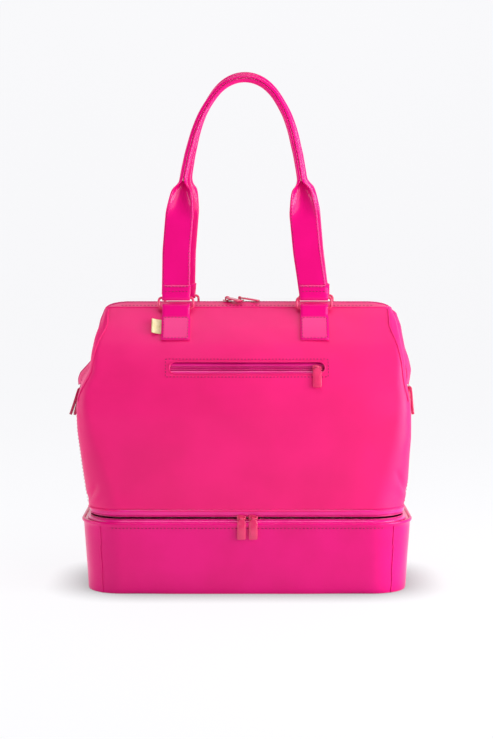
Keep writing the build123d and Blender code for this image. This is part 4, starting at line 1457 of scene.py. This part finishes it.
label_path = []
for x in [-107 - 1.5 * k for k in range(12)]:
    p, _ = on_cloth(x, 351, -1, 0.8)
    t = max(0, (-111 - x) / 14)
    label_path.append(p + Vector((0, -4.0 * t * t, 3.0 * t * t)) * MM)
label = ribbon(
    "label", label_path, [22.0] * 12, [0.7] * 12, label_cloth,
    across=Vector((0, 0.62, 0.785)).normalized(), steps=8
)
place_on(join("blank_label", [label]), "front_mouth", "woven_label", "side_label")
FOLD_EDGE = [(374, 4.5), (354, 11.0), (343, 8.5), (329, 5.0), (298, 2.6), (267, 2.4), (256, 2.2)]
for end in (-1, 1):
    edge_path = []
    for z in reversed(spaced(257, 373, 4)):
        inside = read_table(FOLD_EDGE[::-1], z)
        edge_path.append(on_cloth(end * (read_table(FOLD[end], z) - inside), z, -1, 0.3)[0])
    cloth_bend(
        bar(f"{END_NAME[end]}_fold_piping", edge_path, 0.95, satin_polyester, sides=8), -1, "body_fabric"
    )
print("tabs, label and fold piping made")

# %% [markdown]
# ## Linings
# Inside, a plain cloth lining follows the shell a few millimetres in. Like the panels, it is baked in
# place on no body. The base has a lining of its own, and a stiffened divider closes the floor of the
# upper compartment. A narrow cloth strip runs behind the zip, where the body folds back from the base.

# %% Linings, divider and hinge strip
for side in (-1, 1):
    rows = []
    for z in spaced(118.5, 377, 6):
        t = min(max((z - 250) / 30, 0), 1)
        inset = 5.5 + 5.0 * t * t * (3 - 2 * t)
        rows.append(
            panel_row(z, side, 100, min(inset, read_table(DEPTH, z) - 14), 0.0 if z < 262 else 14.0 * t)
        )
    inner = loft(f"{SIDE_NAME[side]}_lining", outward_rows(rows, side), lining_cloth)
    crumple(inner, 1.2, 60, 20.0 + side, (), (124, 370))
    thicken(inner, 0.5)
    cloth_bend(apply_all(inner), side, "lining", *(("main_lining",) if side < 0 else ()))

BASE_LINING_GAP = 3.4
lining_profile = [(BASE_LINING_GAP + wall_inset(z), z) for z in (100.4, 90, 70, 50, 30, 16)]
lining_profile += [
    (BASE_LINING_GAP + 9.0, 12.0), (BASE_LINING_GAP + 13, 10.8), (40, 10.9), (70, 11.1), (90, 11.2)
]
base_inner = loft(
    "base_lining_cloth",
    [plan(min(i, 52), z, 240) if i < 53 else plan(52, z, 240) for i, z in lining_profile[:-2]],
    lining_cloth, closed_row=True
)
floor_ring = plan(40, 10.9, 240)
lining_floor = make_object(
    "lining_floor", floor_ring + [Vector((0, 0, 11.4)) * MM],
    [(k, (k + 1) % 240, 240) for k in range(240)], lining_cloth
)
thicken(base_inner, 0.6)
base_cloth = join("base_lining_cloth_sewn", [base_inner, lining_floor])
place_on(base_cloth, "base", "lining", "base_lining")


def level_sheet(name, z, inset, thickness, sag, material, count=200):
    """A level stiffened sheet that fills the body's plan, with a slight sag in the middle."""
    outline = []
    for end, side in ((-1, -1), (1, -1), (1, 1), (-1, 1)):
        part = [
            Vector((p.x, -side * p.y)) for p in resample(half_section(z, end, inset), count // 4)
        ]
        outline += (part if end * side > 0 else list(reversed(part)))[:-1]
    points, faces, size = [Vector((0, 0, z - sag)) * MM], [], len(outline)
    for share, rise in ((0.25, 0.1), (0.5, 0.3), (0.75, 0.7), (0.94, 0.95), (1.0, 1.0)):
        points += [Vector((p.x * share, p.y * share, z + sag * (rise - 1))) * MM for p in outline]
    for k in range(size):
        m = (k + 1) % size
        faces.append((0, 1 + k, 1 + m))
        faces += [
            (1 + r * size + k, 1 + (r + 1) * size + k, 1 + (r + 1) * size + m, 1 + r * size + m)
            for r in range(4)
        ]
    made = make_object(name, points, faces, material)
    return thicken(made, thickness)


divider = level_sheet("divider_sheet", 117.3, 3.5, 2.2, 0.8, lining_cloth)
place_on(divider, "upper_body", "body_fabric", "divider_floor")
strip_rows = []
for z in spaced(103.4, 114.6, 1.2):
    bow = 0.5 * math.sin(math.pi * (z - 103.4) / 11.2)
    strip_rows.append([Vector((x, 96.6 + bow, z)) * MM for x in spaced(-182, 182, 4)])
strip = loft("hinge_strip", list(reversed(strip_rows)), satin_polyester)
thicken(strip, 0.8)
apply_all(strip)
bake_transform(strip)
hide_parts("base_hinge_strip")
print("linings made")

# %% [markdown]
# ## Carried-over parts
# The rest of the mechanical model already has its true shape: tapes of the base zip, floor and
# stiffener, and spring frames with their pins. They keep their meshes and
# get their finishes here.

# %% Finishes for the carried-over parts
FINISHES = {
    "base_zip_lower_tape": gloss_tape,
    "base_zip_upper_tape": gloss_tape,
    "base_bottom": gloss_polyurethane,
    "base_board": polyethylene_board,
    "front_frame": spring_steel,
    "rear_frame": spring_steel,
    "frame_pins": spring_steel,
}
for node, finish in FINISHES.items():
    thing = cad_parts[node]
    thing.data.materials.clear()
    thing.data.materials.append(finish)
left_over = [n for n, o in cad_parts.items() if not o.hide_render and n not in FINISHES]
print("nodes without a finish:", left_over)

# %% [markdown]
# ## Stage, light and camera
# The bag stands on a pale plain sweep that glows by emission. Its contact shadow is painted: ambient
# occlusion dims that glow near the bag. A large soft key comes from the right and in front, a big softbox
# on the far right gives the base its upright highlights, and a weak fill from the left keeps the shadow
# side from going dull. The camera is far back with a long lens, slightly above the bag.

# %% Floor and backdrop
def glowing_sweep_with_painted_shadow():
    """Nearly white paper sweep that glows by emission, with a painted contact shadow where ambient
    occlusion dims the glow near the bag.
    """
    material, tree, shader, place = start_material("glowing sweep with painted contact shadow")
    tree.links.new(tint(tree, place, "#626263", "#606061", 900.0), shader.inputs["Base Color"])
    # painted light: the sweep glows by emission, and ambient occlusion dims that glow near the bag into a
    # painted contact shadow
    set_shader(shader, Roughness=0.95, Emission_Color=linear("#FBFBFD"))
    painted_contact_shadow = add_node(tree, "ShaderNodeAmbientOcclusion", {"samples": 8}, Distance=0.06)
    painted_glow_and_shadow = combine(tree, "MULTIPLY", painted_contact_shadow.outputs["AO"], 0.90)
    tree.links.new(painted_glow_and_shadow, shader.inputs["Emission Strength"])
    shader.inputs["Specular IOR Level"].default_value = 0.0
    return material


sweep = []
for y, z in [
    (-9.0, -0.0006), (1.2, -0.0006), (2.0, 0.05), (2.5, 0.25), (2.8, 0.7), (2.9, 1.4), (2.95, 6.0)
]:
    sweep.append([Vector((x, y, z)) for x in (-14.0, -4.0, 0.0, 4.0, 14.0)])
sweep_sheet = loft("paper_sweep", list(reversed(sweep)), glowing_sweep_with_painted_shadow())
modify(sweep_sheet, "SUBSURF", levels=3, render_levels=3)

# %% Lights
def soft_light(name, at, aim, size, power, colour="#FFFFFF"):
    """A rectangular softbox that points at a place."""
    data = bpy.data.lights.new(name, "AREA")
    data.shape, data.size, data.size_y, data.energy = "RECTANGLE", size[0], size[1], power
    data.color = linear(colour)[:3]
    lamp = bpy.data.objects.new(name, data)
    lamp.location = at
    lamp.rotation_mode = "QUATERNION"
    lamp.rotation_quaternion = (Vector(aim) - Vector(at)).to_track_quat("-Z", "Y")
    bpy.context.scene.collection.objects.link(lamp)
    return lamp


MIDDLE = (0, 0, 0.25)
soft_light("key softbox", (1.15, -1.45, 0.8), MIDDLE, (0.8, 1.0), 8.5)
soft_light("side softbox", (1.25, -0.42, 0.4), MIDDLE, (0.7, 1.2), 24)
soft_light("left fill", (-1.6, -0.25, 0.4), MIDDLE, (0.9, 1.2), 11)
soft_light("top softbox", (0.0, -0.4, 2.1), MIDDLE, (1.3, 1.0), 15)
world = bpy.data.worlds.new("studio")
bpy.context.scene.world = world
world.use_nodes = True
world.node_tree.nodes["Background"].inputs["Color"].default_value = linear("#FFFFFF")
world.node_tree.nodes["Background"].inputs["Strength"].default_value = 0.14
bpy.context.scene.view_settings.view_transform = "Standard"

# %% Camera
camera_data = bpy.data.cameras.new("studio camera")
camera_data.lens, camera_data.sensor_width = 86.5, 36.0
camera_data.clip_start, camera_data.clip_end = 0.1, 30.0
camera = bpy.data.objects.new("studio camera", camera_data)
camera.location = (-0.001, -2.35, 0.49)
camera.rotation_mode = "QUATERNION"
camera.rotation_quaternion = (Vector((-0.0006, -0.05, 0.296)) - camera.location).to_track_quat("-Z", "Y")
bpy.context.scene.collection.objects.link(camera)
bpy.context.scene.camera = camera
